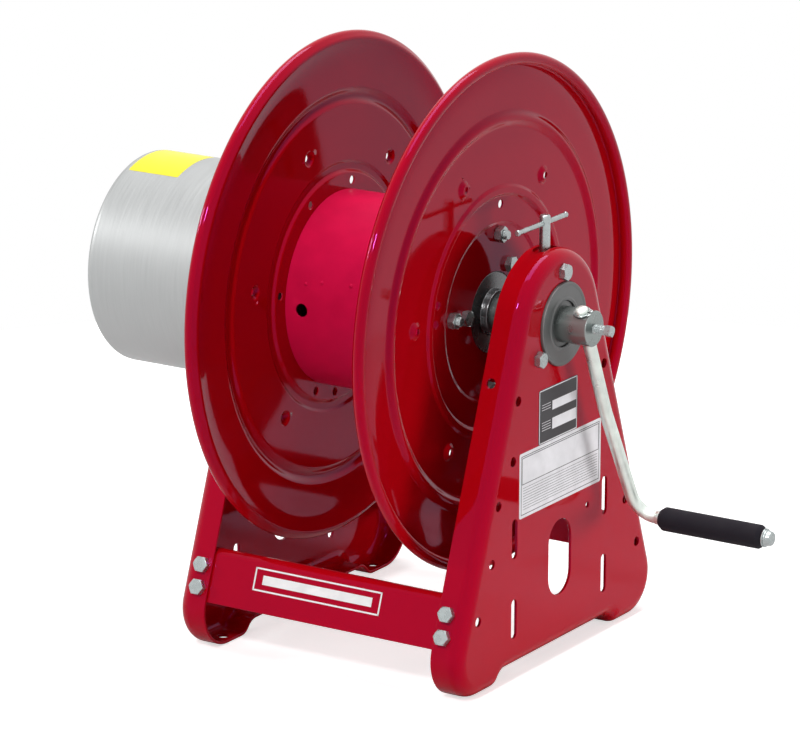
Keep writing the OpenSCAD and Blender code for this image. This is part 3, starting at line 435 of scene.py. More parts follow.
@dataclass(frozen=True)
class Prism:
    """A hexagon or square head or nut with chamfered corners.

    Unturned, it has a corner on the place's X axis. The corners of a rolled square are cut
    off at a share of the distance between its middle and a flat.
    """

    across_flats: float = 14.3
    sides: int = 6
    chamfer: float = 30.0
    face_share: float = 0.94
    steps: int = 10
    corner_share: float = 2.0
    turn: float = 0.0

    def solid(self, place: Place, low: float, high: float, bore: float, both: bool,
              name: str) -> Piece:
        """Makes the head or nut between two heights of its place.

        A chamfer is a cone about the axis, so its edge on a side lies at
        high - (r - f) tan c, where r is the side's radius at that angle and f the radius of
        the flat face.

        Args:
            place: Where the piece stands; its Z axis runs through the bore.
            low: Height of the lower face.
            high: Height of the upper face, which is always chamfered.
            bore: Radius of the hole through it, or 0 for none.
            both: Whether the lower face is chamfered too.
            name: Name of the piece.

        Returns:
            The new object.
        """
        t, wedge = circle(self.sides * self.steps), np.pi / self.sides
        apothem = self.across_flats / 2
        side = apothem / np.cos(t % (2 * wedge) - wedge)
        side = np.minimum(side, apothem * self.corner_share)
        flat = apothem * self.face_share
        drop = (side - flat) * math.tan(math.radians(self.chamfer))
        inner, face = np.full_like(side, bore), np.full_like(side, flat)
        rings = [(inner, 0 * t + low), (face if both else side, 0 * t + low)]
        if both:
            rings.append((side, low + drop))
        rings += [(side, high - drop), (face, 0 * t + high), (inner, 0 * t + high)]
        r, z = np.array(rings).swapaxes(0, 1)
        points = round_points(r, t + math.radians(self.turn), z)
        obj = make_object(name, place.world(points), ring_faces(len(r), len(t), bore > 0))
        obj.data.set_sharp_from_angle(angle=HEAD_ANGLE)
        return obj


@dataclass(frozen=True)
class Thread:
    """An outer thread on a rod, with a rounded crest and root and a chamfered upper end."""

    radius: float
    pitch: float = 1.6
    depth: float = 0.75
    around: int = 24
    per_turn: int = 6
    root_share: float = 1.3
    end: float = 0.8

    def rod(self, place: Place, low: float, high: float, name: str) -> Piece:
        """Makes a threaded rod between two heights.

        The radius at height z and angle t is R - d w(z / p - t / 2 pi), where w is a wave
        between 0 and 1, R the outer radius, d the depth and p the pitch.

        Args:
            place: Where the rod stands.
            low: Height of its lower end.
            high: Height of its upper end.
            name: Name of the piece.

        Returns:
            The new object.
        """
        rows = max(6, int((high - low - self.end) / self.pitch * self.per_turn))
        t = circle(self.around)
        z = np.linspace(low, high - self.end, rows)[:, None]
        wave = 0.5 - 0.5 * np.cos(2 * np.pi * (z / self.pitch - t / (2 * np.pi)))
        r = self.radius - self.depth * wave**self.root_share
        ring = np.ones_like(t)[None, :]
        heights = np.concatenate([low * ring, z * ring, high * ring, high * ring])
        r = np.concatenate([0 * ring, r, (self.radius - self.end) * ring, 0 * ring])
        points = round_points(r, t, heights)
        return make_object(name, place.world(points), ring_faces(len(r), self.around))


@dataclass(frozen=True)
class Bolt:
    """The hexagon bolt that plates, hubs and bearings share, with its nut."""

    radius: float = 4.75
    hole: float = 10.3
    head: float = 6.2
    nut: float = 8.0
    past: float = 1.5

    def rod(self, place: Place, low: float, high: float) -> Piece:
        """A threaded rod of this size between two heights."""
        return Thread(self.radius).rod(place, low, high, "rod")

    def nut_on(self, place: Place, low: float) -> Piece:
        """A nut of this size whose lower face is at a height of the place."""
        return Prism().solid(place, low, low + self.nut, self.radius, True, "nut")

    def set_at(self, places: list[Place], grip: float, name: str) -> tuple[Piece, Piece]:
        """Makes bolts and nuts, each joined as one object.

        Args:
            places: Where the heads sit, with Z into the sheets.
            grip: Thickness of what lies between head and nut.
            name: Name of the objects, with {} where the word bolts or nuts goes.

        Returns:
            The bolts and the nuts.
        """
        bolts = []
        for place in places:
            bolts.append(Prism().solid(place.turned(), 0, self.head, 0, False, "head"))
            bolts.append(self.rod(place, 0, grip + self.nut + self.past))
        nuts = [self.nut_on(place, grip) for place in places]
        return join(bolts, name.format("bolts")), join(nuts, name.format("nuts"))


# ---- Side plates and stretchers -------------------------------------------------------


@dataclass(frozen=True)
class SidePlate:
    """A side plate drawn from one sheet, with a flange swept round its whole outline."""

    out_x: float = 160.4
    sheet: float = 3.0
    flange: float = 32.0
    bend: float = 14.0
    top_radius: float = 75.9
    top_z: float = 327.6
    lean: float = 19.9
    foot_radius: float = 40.0
    foot_inner: float = 118.0
    rise: float = 12.0
    foot_curve: float = 16.0
    edge_ease: float = 0.9
    outline_step: float = 11.0
    section_step: float = 4.5
    bearing_hole: float = 81.8
    bolt: Bolt = Bolt()
    slots: tuple[Numbers, ...] = (
        (83.9, 140.5, 9.5, 39.0), (-83.9, 140.5, 9.5, 39.0), (83.9, 61.0, 9.5, 39.0),
        (-83.9, 61.0, 9.5, 39.0), (0.0, 100.6, 41.7, 76.0), (51.3, 139.3, 6.0, 6.0))
    spare_holes: tuple[Pair, ...] = (
        (79.4, 274.4), (87.7, 217.3), (113.5, 180.0), (124.3, 126.0), (148.4, 76.2))
    spare_width: float = 9.5
    corner_in: float = 21.5
    corner_along: Pair = (285.2, 307.2)
    upper_hole: Pair = (138.5, 65.5)
    foot_hole: Triple = (139.4, 134.0, 11.0)
    brake_slot: Triple = (139.5, 14.0, 32.0)

    def outline(self) -> tuple[np.ndarray, np.ndarray]:
        """The closed outline in the plate's plane and its outward directions.

        Half of it is the round top, a straight side that touches the top and the foot's
        corner, the corner, and two equal arcs that lift the lower edge between the feet.

        Returns:
            Points and directions, both of shape (n, 2) in y and z.
        """
        lean, r = math.radians(self.lean), self.foot_radius
        corner = (self.top_radius - r + (self.top_z - r) * math.sin(lean)) / math.cos(lean)
        turn = math.degrees(math.acos(1 - self.rise / (2 * self.foot_curve)))
        lift = self.foot_inner - 2 * self.foot_curve * math.sin(math.radians(turn))
        pieces = [((0, self.top_z), self.top_radius, 90, self.lean, 30, 1),
                  ((corner, r), r, self.lean, -90, 34, 1),
                  ((self.foot_inner, self.foot_curve), self.foot_curve, -90, -90 - turn, 9, 1),
                  ((lift, self.rise - self.foot_curve), self.foot_curve, 90 - turn, 90, 9, -1)]
        points, ways = [], []
        for i, (centre, radius, start, end, steps, side) in enumerate(pieces):
            a = np.radians(np.linspace(start, end, steps + 1))[1 if i == 3 else 0:]
            way = np.stack([np.cos(a), np.sin(a)], -1)
            points.append(np.array(centre) + radius * way)
            ways.append(side * way)
        points.append(np.array([[0, self.rise]]))
        ways.append(np.array([[0, -1]]))
        half = np.concatenate([np.concatenate(points), np.concatenate(ways)], 1)
        half = densify(half, self.outline_step)
        whole = np.concatenate([half, (half * [-1, 1, -1, 1])[-2:0:-1]])
        return whole[:, :2], whole[:, 2:]

    def section(self) -> np.ndarray:
        """The sheet's section as distance in from the outline and depth behind the face."""
        b, t, f = self.bend, self.sheet, self.flange
        outer = arc((b, b), b, 270, 180, 16)
        inner = arc((b, b), b - t, 180, 270, 16)
        end = fillet([outer[-1], [0, f], [t, f], inner[0]], self.edge_ease, 4)
        return densify(np.concatenate([outer[:-1], end, inner[1:]]), self.section_step)

    def on_flange(self, x: float, along: float, front: float) -> Place:
        """A place on the outside of a flange, its Z axis pointing into the frame.

        Args:
            x: Distance along the shaft.
            along: Distance from the round top's centre, down the flange.
            front: 1 for the front flange, -1 for the rear one.

        Returns:
            The place, with Y down along the flange.
        """
        c, s = math.cos(math.radians(self.lean)), math.sin(math.radians(self.lean))
        y = -front * (self.top_radius * c + along * s)
        z = self.top_z + self.top_radius * s - along * c
        return Place((x, y, z), (front, 0, 0), (0, front * c, -s))

    def corner_places(self, side: float, front: float) -> list[Place]:
        """Places of the bolts in one corner, on the outside of the flange."""
        x = side * (self.out_x - self.corner_in)
        return [self.on_flange(x, a, front) for a in self.corner_along]

    def build(self, side: float, name: str) -> Piece:
        """Sweeps the sheet, closes its faces and punches every hole.

        Args:
            side: 1 for the crank side, -1 for the housing side.
            name: Name of the piece.

        Returns:
            The finished mesh object.
        """
        edge, way = self.outline()
        section = self.section()
        s, d = section[:, :1], section[:, 1:]
        points = np.stack([side * (self.out_x - d) + 0 * edge[:, 0], edge[:, 0] - way[:, 0] * s,
                           edge[:, 1] - way[:, 1] * s], -1)
        plate = make_object(name, points, ring_faces(len(section), len(edge), capped=True))
        return pierce(plate, self.tools(side))

    def tools(self, side: float) -> list[Piece]:
        """The punches of one plate."""
        t = self.sheet

        def on_face(y: float, z: float) -> Place:
            """A place on the outer face, with Y upwards."""
            return Place((side * self.out_x, y, z), (0, -side, 0), (-side, 0, 0))

        made = [punch(on_face(0, SHAFT_Z), self.bearing_hole, 0, t, steps=40)]
        made += [punch(on_face(BOLT_CIRCLE * math.sin(a), SHAFT_Z - BOLT_CIRCLE * math.cos(a)),
                       self.bolt.hole, 0, t) for a in ring_angles(3, BEARING_PHASE)]
        made += [punch(on_face(y, z), w, h, t) for y, z, w, h in self.slots]
        made += [punch(on_face(m * y, z), self.spare_width, 0, t)
                 for y, z in self.spare_holes for m in (-1, 1)]
        for front in (-1, 1):
            made += [punch(place, self.bolt.hole, 0, t)
                     for place in self.corner_places(side, front)]
            x, a = self.upper_hole
            made.append(punch(self.on_flange(side * x, a, front), self.spare_width, 0, t))
            x, y, d = self.foot_hole
            made.append(punch(Place((side * x, front * y, 0), (1, 0, 0), (0, 0, 1)), d, 0, t))
        if side > 0:
            x, w, h = self.brake_slot
            top = self.top_z + self.top_radius
            made.append(punch(Place((x, 0, top), (1, 0, 0), (0, 0, -1)), w, h, 2 * t, 0.1))
        return made


@dataclass(frozen=True)
class Frame:
    """The two side plates, the two stretchers between them and their bolts."""

    plate: SidePlate = SidePlate()
    height: float = 54.0
    depth: float = 18.0
    sheet: float = 2.5
    bend: float = 12.0
    edge_ease: float = 0.6
    top_ease: float = 0.7
    half_length: float = 145.7
    along: float = 293.1

    def stretcher(self, front: float, name: str) -> Piece:
        """An angle along the shaft with its leg on top, its long side flat on the flanges."""
        h, b, t, d = self.height / 2, self.bend, self.sheet, self.depth
        corners = [[-h, d], [-h, 0], [h, 0], [h, t], [t - h, t], [t - h, d]]
        radii = (self.edge_ease, b, self.top_ease, self.top_ease, b - t, self.edge_ease)
        y, z = fillet(corners, radii, 14, True).T
        x = np.array([[-self.half_length], [self.half_length]])
        points = np.stack(np.broadcast_arrays(x, y, z + self.plate.sheet), -1)
        place = self.plate.on_flange(0, self.along, front)
        made = make_object(name, place.world(points), ring_faces(2, len(y), capped=True))
        return pierce(made, [punch(corner.at(0, 0, self.plate.sheet), self.plate.bolt.hole, 0, t)
                             for side, _ in SIDES
                             for corner in self.plate.corner_places(side, front)])

    def build(self) -> None:
        """Builds the frame's pieces and dresses them."""
        for side, name in SIDES:
            finish_piece(self.plate.build(side, f"pressed_plate_{name}"), RED, Body.FRAME,
                         f"side_plate_{name}")
        corners = []
        for front, name in ((1, "front"), (-1, "rear")):
            finish_piece(self.stretcher(front, f"angle_{name}"), RED, Body.FRAME,
                         f"stretcher_{name}")
            for side, _ in SIDES:
                corners += self.plate.corner_places(side, front)
        made = self.plate.bolt.set_at(corners, self.plate.sheet + self.sheet, "corner_{}")
        for obj, kind in zip(made, ("bolts", "nuts")):
            finish_piece(obj, ZINC, Body.FRAME, f"stretcher_{kind}")


# ---- Reel -----------------------------------------------------------------------------


@dataclass(frozen=True)
class Disc:
    """A stamped disc: hub seat, drum seat, raised ring, rib, flares and a rolled rim."""

    hub_x: float = 85.2
    seat_x: float = 86.7
    web_x: float = 88.7
    sheet: float = 2.0
    hub_hole: float = 39.4
    hub_seat: float = 84.6
    drum_seat: float = 88.0
    ring: Numbers = (112.0, 115.0, 121.0, 124.0)
    ring_rise: float = 1.8
    rib: Triple = (187.0, 9.0, 4.0)
    face_radii: Numbers = (0, 2.5, 4, 2.5, 2.5, 2.5, 2.5, 0)
    bead_at: Pair = (244.16, 93.6)
    bead: float = 5.75
    groove: float = 1.5
    roll: Triple = (212.0, 237.4, 1.96)
    curl_start: float = -50.0
    curl_corner: Pair = (243.3, 85.4)
    curl: float = 5.0
    flare_radius: float = 145.0
    flare_bore: float = 3.5
    flare_rise: float = 3.4
    flare_lip: float = 5.0
    flare_root: float = 8.8
    flare_foot: float = 11.5
    funnel: Triple = (0.2, 3.6, 7.4)
    side_radius: float = 104.5
    side_width: float = 8.0
    tie_radius: float = 75.6
    bolt: Bolt = Bolt()
    mesh_step: float = 5.0
    turns: int = 288

    def face(self) -> np.ndarray:
        """The inner face as radius and x, from the hub's hole to the rolled rim.

        The rib is a raised cosine. Beyond it the web falls away with the third power of the
        distance, down to the rim.
        """
        (r0, r1, r2, r3), top = self.ring, self.web_x + self.ring_rise
        middle, half, rise = self.rib
        flat = fillet([[self.hub_hole, self.hub_x], [self.hub_seat, self.hub_x],
                       [self.drum_seat, self.seat_x], [r0, self.seat_x], [r1, top], [r2, top],
                       [r3, self.web_x], [middle - 2 * half, self.web_x]], self.face_radii, 5)
        u = np.linspace(-1, 1, 33)
        rib = np.stack([middle + u * half, self.web_x + rise * (1 + np.cos(np.pi * u)) / 2], -1)
        start, end, drop = self.roll
        v = np.linspace(0, 1, 15)
        fall = np.stack([start + v * (end - start), self.web_x - drop * v**3], -1)
        return np.concatenate([flat, rib, fall])

    def profile(self) -> np.ndarray:
        """The whole section: inner face, round the rolled rim, and back on the outer face.

        A groove of radius g joins the rim's bead, of radius b, to the outer face. Their
        middles lie b + g apart, and the groove's middle lies g off the outer face's end.
        """
        inner = self.face()
        outer = inner + [0, self.sheet]
        r, x = self.bead_at
        start, end, drop = self.roll
        slope = math.atan(3 * drop / (end - start))
        apart = self.bead + self.groove
        above = outer[-1, 1] + self.groove * math.cos(slope) - x
        lean = math.degrees(math.asin(above / apart))
        bead = arc(self.bead_at, self.bead, self.curl_start, 180 - lean, 40)
        curl = fillet([inner[-1], self.curl_corner, bead[0]], self.curl, 6)
        middle = (r - math.sqrt(apart**2 - above**2), x + above)
        groove = arc(middle, self.groove, -lean, -90 - math.degrees(slope), 8)
        line = np.concatenate([inner[:-1], curl[:-1], bead[:-1], groove, outer[-2::-1]])
        return densify(line, self.mesh_step)

    def flare(self, place: Place) -> Piece:
        """A flared hole, its lip drawn outwards from the web.

        Its outer side is a fillet from the web's face up to the lip, and its bore is a
        smooth funnel that opens towards the drum.
        """
        s, bore, foot = self.sheet, self.flare_bore, self.flare_foot
        tip, (opening, depth, mouth) = s + self.flare_rise, self.funnel
        outer = fillet([[foot, s], [self.flare_root, s], [self.flare_lip, tip], [bore, tip]],
                       (0, 3.0, 0.6, 0), 6)
        inner = fillet([[bore, tip], [bore + opening, depth], [mouth, 0], [foot, 0]],
                       (0, 2.2, 2.6, 0), 6)
        return lathe(place, np.concatenate([outer, inner]), 40, "flare", True)

    def build(self, side: float, name: str, flare_phase: float, side_holes: Numbers) -> Piece:
        """Makes one disc.

        Args:
            side: 1 for the crank side, -1 for the housing side.
            name: Name of the piece.
            flare_phase: Angle of the first flare, in degrees.
            side_holes: Angles of the holes beside the drum, in degrees.

        Returns:
            The finished mesh object.
        """
        profile = self.profile() * [1, side] + [0, -REEL_SHIFT]
        disc = lathe(SHAFT_LINE, profile, self.turns, name, True)

        def hole(x: float, radius: float, angle: float) -> Place:
            """A place on the inner face, its Z axis outwards through the sheet."""
            return along_shaft(side * x - REEL_SHIFT, radius, angle, side)

        s, bolt = self.sheet, self.bolt.hole
        flares = [hole(self.web_x, self.flare_radius, a) for a in ring_angles(6, flare_phase)]
        tools = [punch(place, 2 * self.flare_foot, 0, s, 0.0, 20) for place in flares]
        tools += [punch(hole(self.seat_x, self.side_radius, math.radians(a)),
                        self.side_width, 0, s) for a in side_holes]
        tools += [punch(hole(self.hub_x, self.tie_radius, a), bolt, 0, s)
                  for a in ring_angles(4, TIE_PHASE)]
        tools += [punch(hole(self.hub_x, BOLT_CIRCLE, a), bolt, 0, s)
                  for a in ring_angles(3, HUB_PHASE)]
        cut(disc, *tools)
        disc = join([disc, *map(self.flare, flares)], name)
        clean(disc)
        return flat_shaded(disc)


@dataclass(frozen=True)
class Reel:
    """Everything that turns with the drum between the discs."""

    disc: Disc = Disc()
    bolt: Bolt = Bolt()
    drum_radius: float = 96.0
    drum_half: float = 86.7
    drum_wall: float = 2.0
    drum_ease: float = 0.5
    outlet: Pair = (68.0, 13.0)
    pips: tuple[Pair, ...] = ((-69.6, 164.4), (-52.0, 162.3), (-19.4, 161.3))
    pip_radius: float = 2.2
    pip_sunk: float = 1.1
    hub: Numbers = (58.0, 39.0, 23.0, 17.45)
    hub_depths: Triple = (81.2, 87.2, 95.2)
    hub_flange: float = 4.0
    hub_radii: Numbers = (0, 0.8, 1.3, 0, 1.2, 1.0, 1.4, 0.5)
    tie_start: float = -20.0
    tie_end: float = 99.4
    tie_middle: float = 70.0
    flare_phases: Pair = (144.5, 140.0)
    side_holes: tuple[Numbers, ...] = ((174, 254, 264), (168, 209, 263, 336, 355))

    def drum(self) -> Piece:
        """The rolled drum with its outlet hole and the small pips beside its seam."""
        r, h, w = self.drum_radius, self.drum_half, self.drum_wall
        corners = [[r - w, -h], [r, -h], [r, h], [r - w, h]]
        profile = fillet(corners, self.drum_ease, 3, True) + [0, -REEL_SHIFT]
        drum = lathe(SHAFT_LINE, profile, 192, "drum_rolled", True)
        x, d = self.outlet
        place = Place((-x - REEL_SHIFT, -r, SHAFT_Z), (1, 0, 0), (0, 1, 0))
        cut(drum, punch(place, d, 0, w, self.drum_ease, 24))
        dome = arc((0, -self.pip_sunk), self.pip_radius, 90, 20, 8)
        dome = np.concatenate([dome, [[0, -self.drum_ease]]])
        pips = []
        for px, angle in self.pips:
            y, z = math.cos(math.radians(angle)), math.sin(math.radians(angle))
            pips.append(lathe(Place((px, r * y, SHAFT_Z + r * z), (1, 0, 0), (0, y, z)), dome, 20))
        return flat_shaded(join([drum, *pips], "drum_rolled"))

    def hub_piece(self, side: float, name: str) -> Piece:
        """A hub flange with its spigot in the disc and its collar on the shaft."""
        flange, spigot, collar, bore = self.hub
        back, face, end = self.hub_depths
        front = back + self.hub_flange
        corners = [[bore, back], [flange, back], [flange, front], [spigot, front],
                   [spigot, face], [collar, face], [collar, end], [bore, end]]
        profile = fillet(corners, self.hub_radii, 4, True) * [1, side] + [0, -REEL_SHIFT]
        return lathe(SHAFT_LINE, profile, 128, name, True)

    def fasteners(self) -> dict[str, Piece]:
        """Hub bolts and nuts, tie rods and tie nuts, each as one object."""
        outer = self.disc.hub_x + self.disc.sheet
        hubs, nuts, rods = [], [], []
        for side, _ in SIDES:
            x = side * outer - REEL_SHIFT
            hubs += [along_shaft(x, BOLT_CIRCLE, a, -side) for a in ring_angles(3, HUB_PHASE)]
            for a in ring_angles(4, TIE_PHASE):
                out = along_shaft(x, self.disc.tie_radius, a, side)
                nuts += [self.bolt.nut_on(out, 0),
                         self.bolt.nut_on(out, -self.disc.sheet - self.bolt.nut)]
                rods.append(self.bolt.rod(out, self.tie_start, self.tie_end - outer))
        plain = shank(self.bolt.radius - 0.1, -self.tie_middle, self.tie_middle)
        for a in ring_angles(4, TIE_PHASE):
            rods.append(lathe(along_shaft(-REEL_SHIFT, self.disc.tie_radius, a, 1), plain, 24))
        bolts, back = self.bolt.set_at(hubs, outer - self.hub_depths[0], "{}_of_hubs")
        return {"hub_bolts": bolts, "hub_nuts": back, "tie_rods": join(rods, "rods_of_reel"),
                "tie_nuts": join(nuts, "nuts_of_reel")}

    def build(self) -> None:
        """Builds the reel's pieces and dresses them."""
        for (side, name), phase, holes in zip(SIDES, self.flare_phases, self.side_holes):
            finish_piece(self.disc.build(side, f"stamped_disc_{name}", phase, holes), RED,
                         Body.REEL, f"disc_{name}")
        finish_piece(self.drum(), CRIMSON, Body.REEL, "drum_shell")
        for side, name in SIDES:
            finish_piece(self.hub_piece(side, f"hub_turned_{name}"), IRON, Body.REEL, f"hub_{name}")
        for node, obj in self.fasteners().items():
            finish_piece(obj, ZINC, Body.REEL, node)


# ---- Bearings -------------------------------------------------------------------------


@dataclass(frozen=True)
class Bearings:
    """The pressed bearing shells in both plates and the bolts that hold them."""

    plate_in: float = 157.4
    plate_out: float = 160.4
    sheet: float = 2.0
    shell: float = 40.5
    hole: float = 22.5
    flange: float = 58.5
    bead: float = 0.8
    radii: Numbers = (2.0, 0.5, 0.5, 0.3, 1.1, 0.9, 1.2, 1.2, 0.9, 0.6, 0.4, 0.6)
    bolt: Bolt = Bolt(nut=6.0, past=1.0)
    back: float = 2.5

    def outer_shell(self, side: float, name: str) -> Piece:
        """The pressed outer shell: flange behind the plate, rim, flat face and shaft lip."""
        t, p, q, r = self.sheet, self.plate_in, self.plate_out, self.shell
        top = q + t + self.bead
        corners = [[r - t, p - t], [self.flange, p - t], [self.flange, p], [r, p], [r, top],
                   [r - t, top], [r - 2 * t, q + t], [self.hole + 2 * t, q + t],
                   [self.hole + t, top], [self.hole, q + t], [self.hole, q], [r - t, q]]
        profile = fillet(corners, self.radii, 4, True) * [1, side]
        shell = lathe(SHAFT_LINE, profile, 144, name, True)
        cut(shell, *(punch(along_shaft(side * p, BOLT_CIRCLE, a, -side), self.bolt.hole, 0, t)
                     for a in ring_angles(3, BEARING_PHASE)))
        return flat_shaded(shell)

    def build(self) -> None:
        """Builds the outer shells and the bolts through plates and shells, and dresses them."""
        for side, name in SIDES:
            finish_piece(self.outer_shell(side, f"bearing_cover_{name}"), BEARING, Body.FRAME,
                         f"bearing_shell_outer_{name}")
            outer = self.plate_out + (0.0 if side > 0 else self.back)
            places = [along_shaft(side * outer, BOLT_CIRCLE, a, -side)
                      for a in ring_angles(3, BEARING_PHASE)]
            made = self.bolt.set_at(places, outer - self.plate_in + 2 * self.sheet,
                                    "{}_of_bearing_" + name)
            for obj, kind in zip(made, ("bolts", "nuts")):
                finish_piece(obj, ZINC, Body.FRAME, f"bearing_{kind}_{name}")


# ---- Shaft and crank ------------------------------------------------------------------


@dataclass(frozen=True)
class Crank:
    """Shaft, crank rod, its ring and set screw, and the turning grip."""

    shaft: float = 17.45
    shaft_ends: Pair = (-239.4, 195.2)
    shaft_bore: float = 8.0
    bore_end: float = -20.0
    outlet: float = 13.0
    outlet_x: float = -72.7
    rod_x: float = 185.3
    rod: float = 6.35
    rod_neck: float = 5.55
    rod_top: tuple[Pair, ...] = (
        (0, 0.001), (0, 3.6), (0.35, 5.0), (0.9, 5.9), (1.7, 6.35))
    swage: tuple[Pair, ...] = (
        (-0.6, 0), (-0.1, 0.4), (0.5, 0.6), (-0.5, 0.6), (0, 0.2), (0.01, 0))
    lean: float = 23.3
    radius: float = 224.1
    top: float = 22.45
    top_end: float = -10.0
    straight: float = 95.0
    kink: float = 4.2
    kink_radius: float = 120.0
    bend: float = 24.0
    grip_x: Pair = (221.26, 334.16)
    grip: float = 11.7
    grip_play: float = 0.12
    grip_cut: Pair = (3.15, 4.5)
    washer: Pair = (9.25, 1.6)
    cap: tuple[Pair, ...] = (
        (6.4, 0), (8.51, 0), (8.325, 1.4), (7.5, 2.6), (6.6, 7.0), (0, 7.0), (0, 2.5), (6.4, 2.5))
    rod_in_cap: float = 2.4
    end_clear: float = 0.3
    screw: float = 4.75
    screw_out: float = 12.4
    screw_head: Prism = Prism(9.5, 4, 28.0, 0.93, 8, 1.33, 15.0)
    square_length: float = 7.0
    ring: Triple = (5.6, 3.0, 1.2)
    ring_open: float = 24.0
    lug_at: Pair = (22.0, 1.2)
    lug: Triple = (0.8, 2.1, 0.6)
    reach: float = 40.0

    def down(self) -> np.ndarray:
        """Direction from the shaft to the handle."""
        a = math.radians(self.lean)
        return np.array([0, math.sin(a), -math.cos(a)])

    def crank_place(self) -> Place:
        """Where the rod crosses the shaft's axis, with Z towards the handle."""
        return Place((self.rod_x, 0, SHAFT_Z), (1, 0, 0), tuple(self.down()))

    def handle_place(self, x: float) -> Place:
        """A place on the handle's axis, with Z away from the reel."""
        axis = np.array([x, 0, SHAFT_Z]) + self.radius * self.down()
        return Place(tuple(axis), tuple(-self.down()), (1, 0, 0))

    def shaft_piece(self) -> Piece:
        """The shaft with its bored end, the cross holes for lead and rod, and the screw's hole."""
        r, b, (x0, x1) = self.shaft, self.shaft_bore, self.shaft_ends
        corners = [[b, x0], [r, x0], [r, x1], [0, x1], [0, self.bore_end], [b, self.bore_end]]
        profile = fillet(corners, (0.5, 0.8, 0.9, 0, 0, 0), 3, True)
        shaft = lathe(SHAFT_LINE, profile, 128, "shaft_turned", True)
        lead = Place((self.outlet_x, 0, SHAFT_Z), (1, 0, 0), (0, -1, 0))
        screw = Place((self.rod_x, 0, SHAFT_Z), (0, 1, 0), (1, 0, 0))
        for place, radius, low, turns in ((self.crank_place(), self.rod + FIT, -self.reach, 48),
                                          (lead, self.outlet / 2, 0, 32),
                                          (screw, self.screw + FIT, 0, 32)):
            cut(shaft, lathe(place, shank(radius, low, self.reach), turns))
        clean(shaft)
        return flat_shaded(shaft)

    def middle_line(self) -> tuple[np.ndarray, np.ndarray]:
        """The rod's middle line, its kink and its bend, in the plane of shaft and handle.

        An arc of radius R that turns by angle k adds R (1 - cos k) across and R sin k along
        the line.

        Returns:
            Points as distance along the shaft and down the rod, and the angle turned there.
        """
        k, kr, b = math.radians(self.kink), self.kink_radius, self.bend
        across, along = math.sin(k), math.cos(k)
        second = (self.radius - self.straight - kr * across - b * (1 - across)) / along
        a, turn = np.linspace(0, k, 8), np.linspace(k, np.pi / 2, 22)
        first = np.stack([kr * (1 - np.cos(a)), self.straight + kr * np.sin(a)], -1)
        centre = first[-1] + second * np.array([across, along]) + b * np.array([along, -across])
        bend = centre + b * np.stack([-np.cos(turn), np.sin(turn)], -1)
        return np.concatenate([first, bend]), np.concatenate([a, turn])

    def rod_piece(self) -> Piece:
        """The bent rod: a circle carried along its middle line, with a groove and a collar.

        Its upper end is rounded, and the groove below it holds the retaining ring. The
        swaged collar reaches from the bend to the grip.
        """
        line, angle = self.middle_line()
        x, r, width = line[-1, 0], self.rod, self.ring[2]
        end = self.grip_x[1] + self.end_clear + self.washer[1] + self.rod_in_cap - self.rod_x
        collar = self.grip_x[0] - self.end_clear - self.rod_x
        groove = -self.shaft - FIT
        upper, swage = np.array(self.rod_top), np.array(self.swage)
        top = np.concatenate([upper[:, 0] - self.top, np.repeat([groove - width, groove], 2),
                              [self.top_end]])
        tail = np.concatenate([swage[:, 0] + np.repeat([x, collar], 3), [end, end + 0.01]])
        radii = np.concatenate([upper[:, 1], [r, self.rod_neck, self.rod_neck, r, r],
                                np.full(len(line), r), r + swage[:, 1], [r, upper[0, 1]]])
        angle = np.concatenate([0 * top, angle, 0 * tail + np.pi / 2])
        line = np.concatenate([np.stack([0 * top, top], -1), line,
                               np.stack([tail, 0 * tail + line[-1, 1]], -1)])
        across = np.stack([np.cos(angle), 0 * angle, -np.sin(angle)], -1)
        path = np.stack([line[:, 0], 0 * line[:, 0], line[:, 1]], -1)
        t = circle(40)
        section = radii[:, None, None] * np.stack([np.cos(t), np.sin(t)], -1)
        place = self.crank_place()
        return sweep(place.world(path), place.along(across), place.along([0, 1, 0]), section,
                     "rod_bent")

    def ring_piece(self) -> Piece:
        """The open retaining ring on the rod, with an eyed lug at each end."""
        inner, wide, thick = self.ring
        mid, z = inner + wide / 2, -self.shaft - FIT - thick / 2
        t = np.radians(np.linspace(self.ring_open, 360 - self.ring_open, 60))
        way = np.stack([np.cos(t), np.sin(t), 0 * t], -1)
        corners = np.array([[-0.5, -0.5], [0.5, -0.5], [0.5, 0.5], [-0.5, 0.5]]) * [wide, thick]
        place = self.crank_place()
        parts = [sweep(place.world(mid * way + [0, 0, z]), place.along(way),
                       place.along([0, 0, 1]), fillet(corners, 0.35, 3, True), "ring")]
        (angle, out), (r0, r1, h) = self.lug_at, self.lug
        eye = fillet([[r0, -h], [r1, -h], [r1, h], [r0, h]], 0.25, 2, True)
        for a in (math.radians(angle), -math.radians(angle)):
            spot = place.at((mid + out) * math.cos(a), (mid + out) * math.sin(a), z)
            parts.append(lathe(spot, eye, 28, "lug", True))
        return join(parts, "ring_retaining")

    def screw_piece(self) -> Piece:
        """The set screw with its square head."""
        place = Place((self.shaft_ends[1], 0, SHAFT_Z), (0, 0, -1), (1, 0, 0))
        head = self.screw_head.solid(place, self.screw_out, self.screw_out + self.square_length,
                                     0, True, "square")
        start = self.rod_x + self.rod - self.shaft_ends[1]
        thread = Thread(self.screw, pitch=1.9).rod(place, start, self.screw_out + 0.5, "thread")
        return join([head, thread], "screw_square")

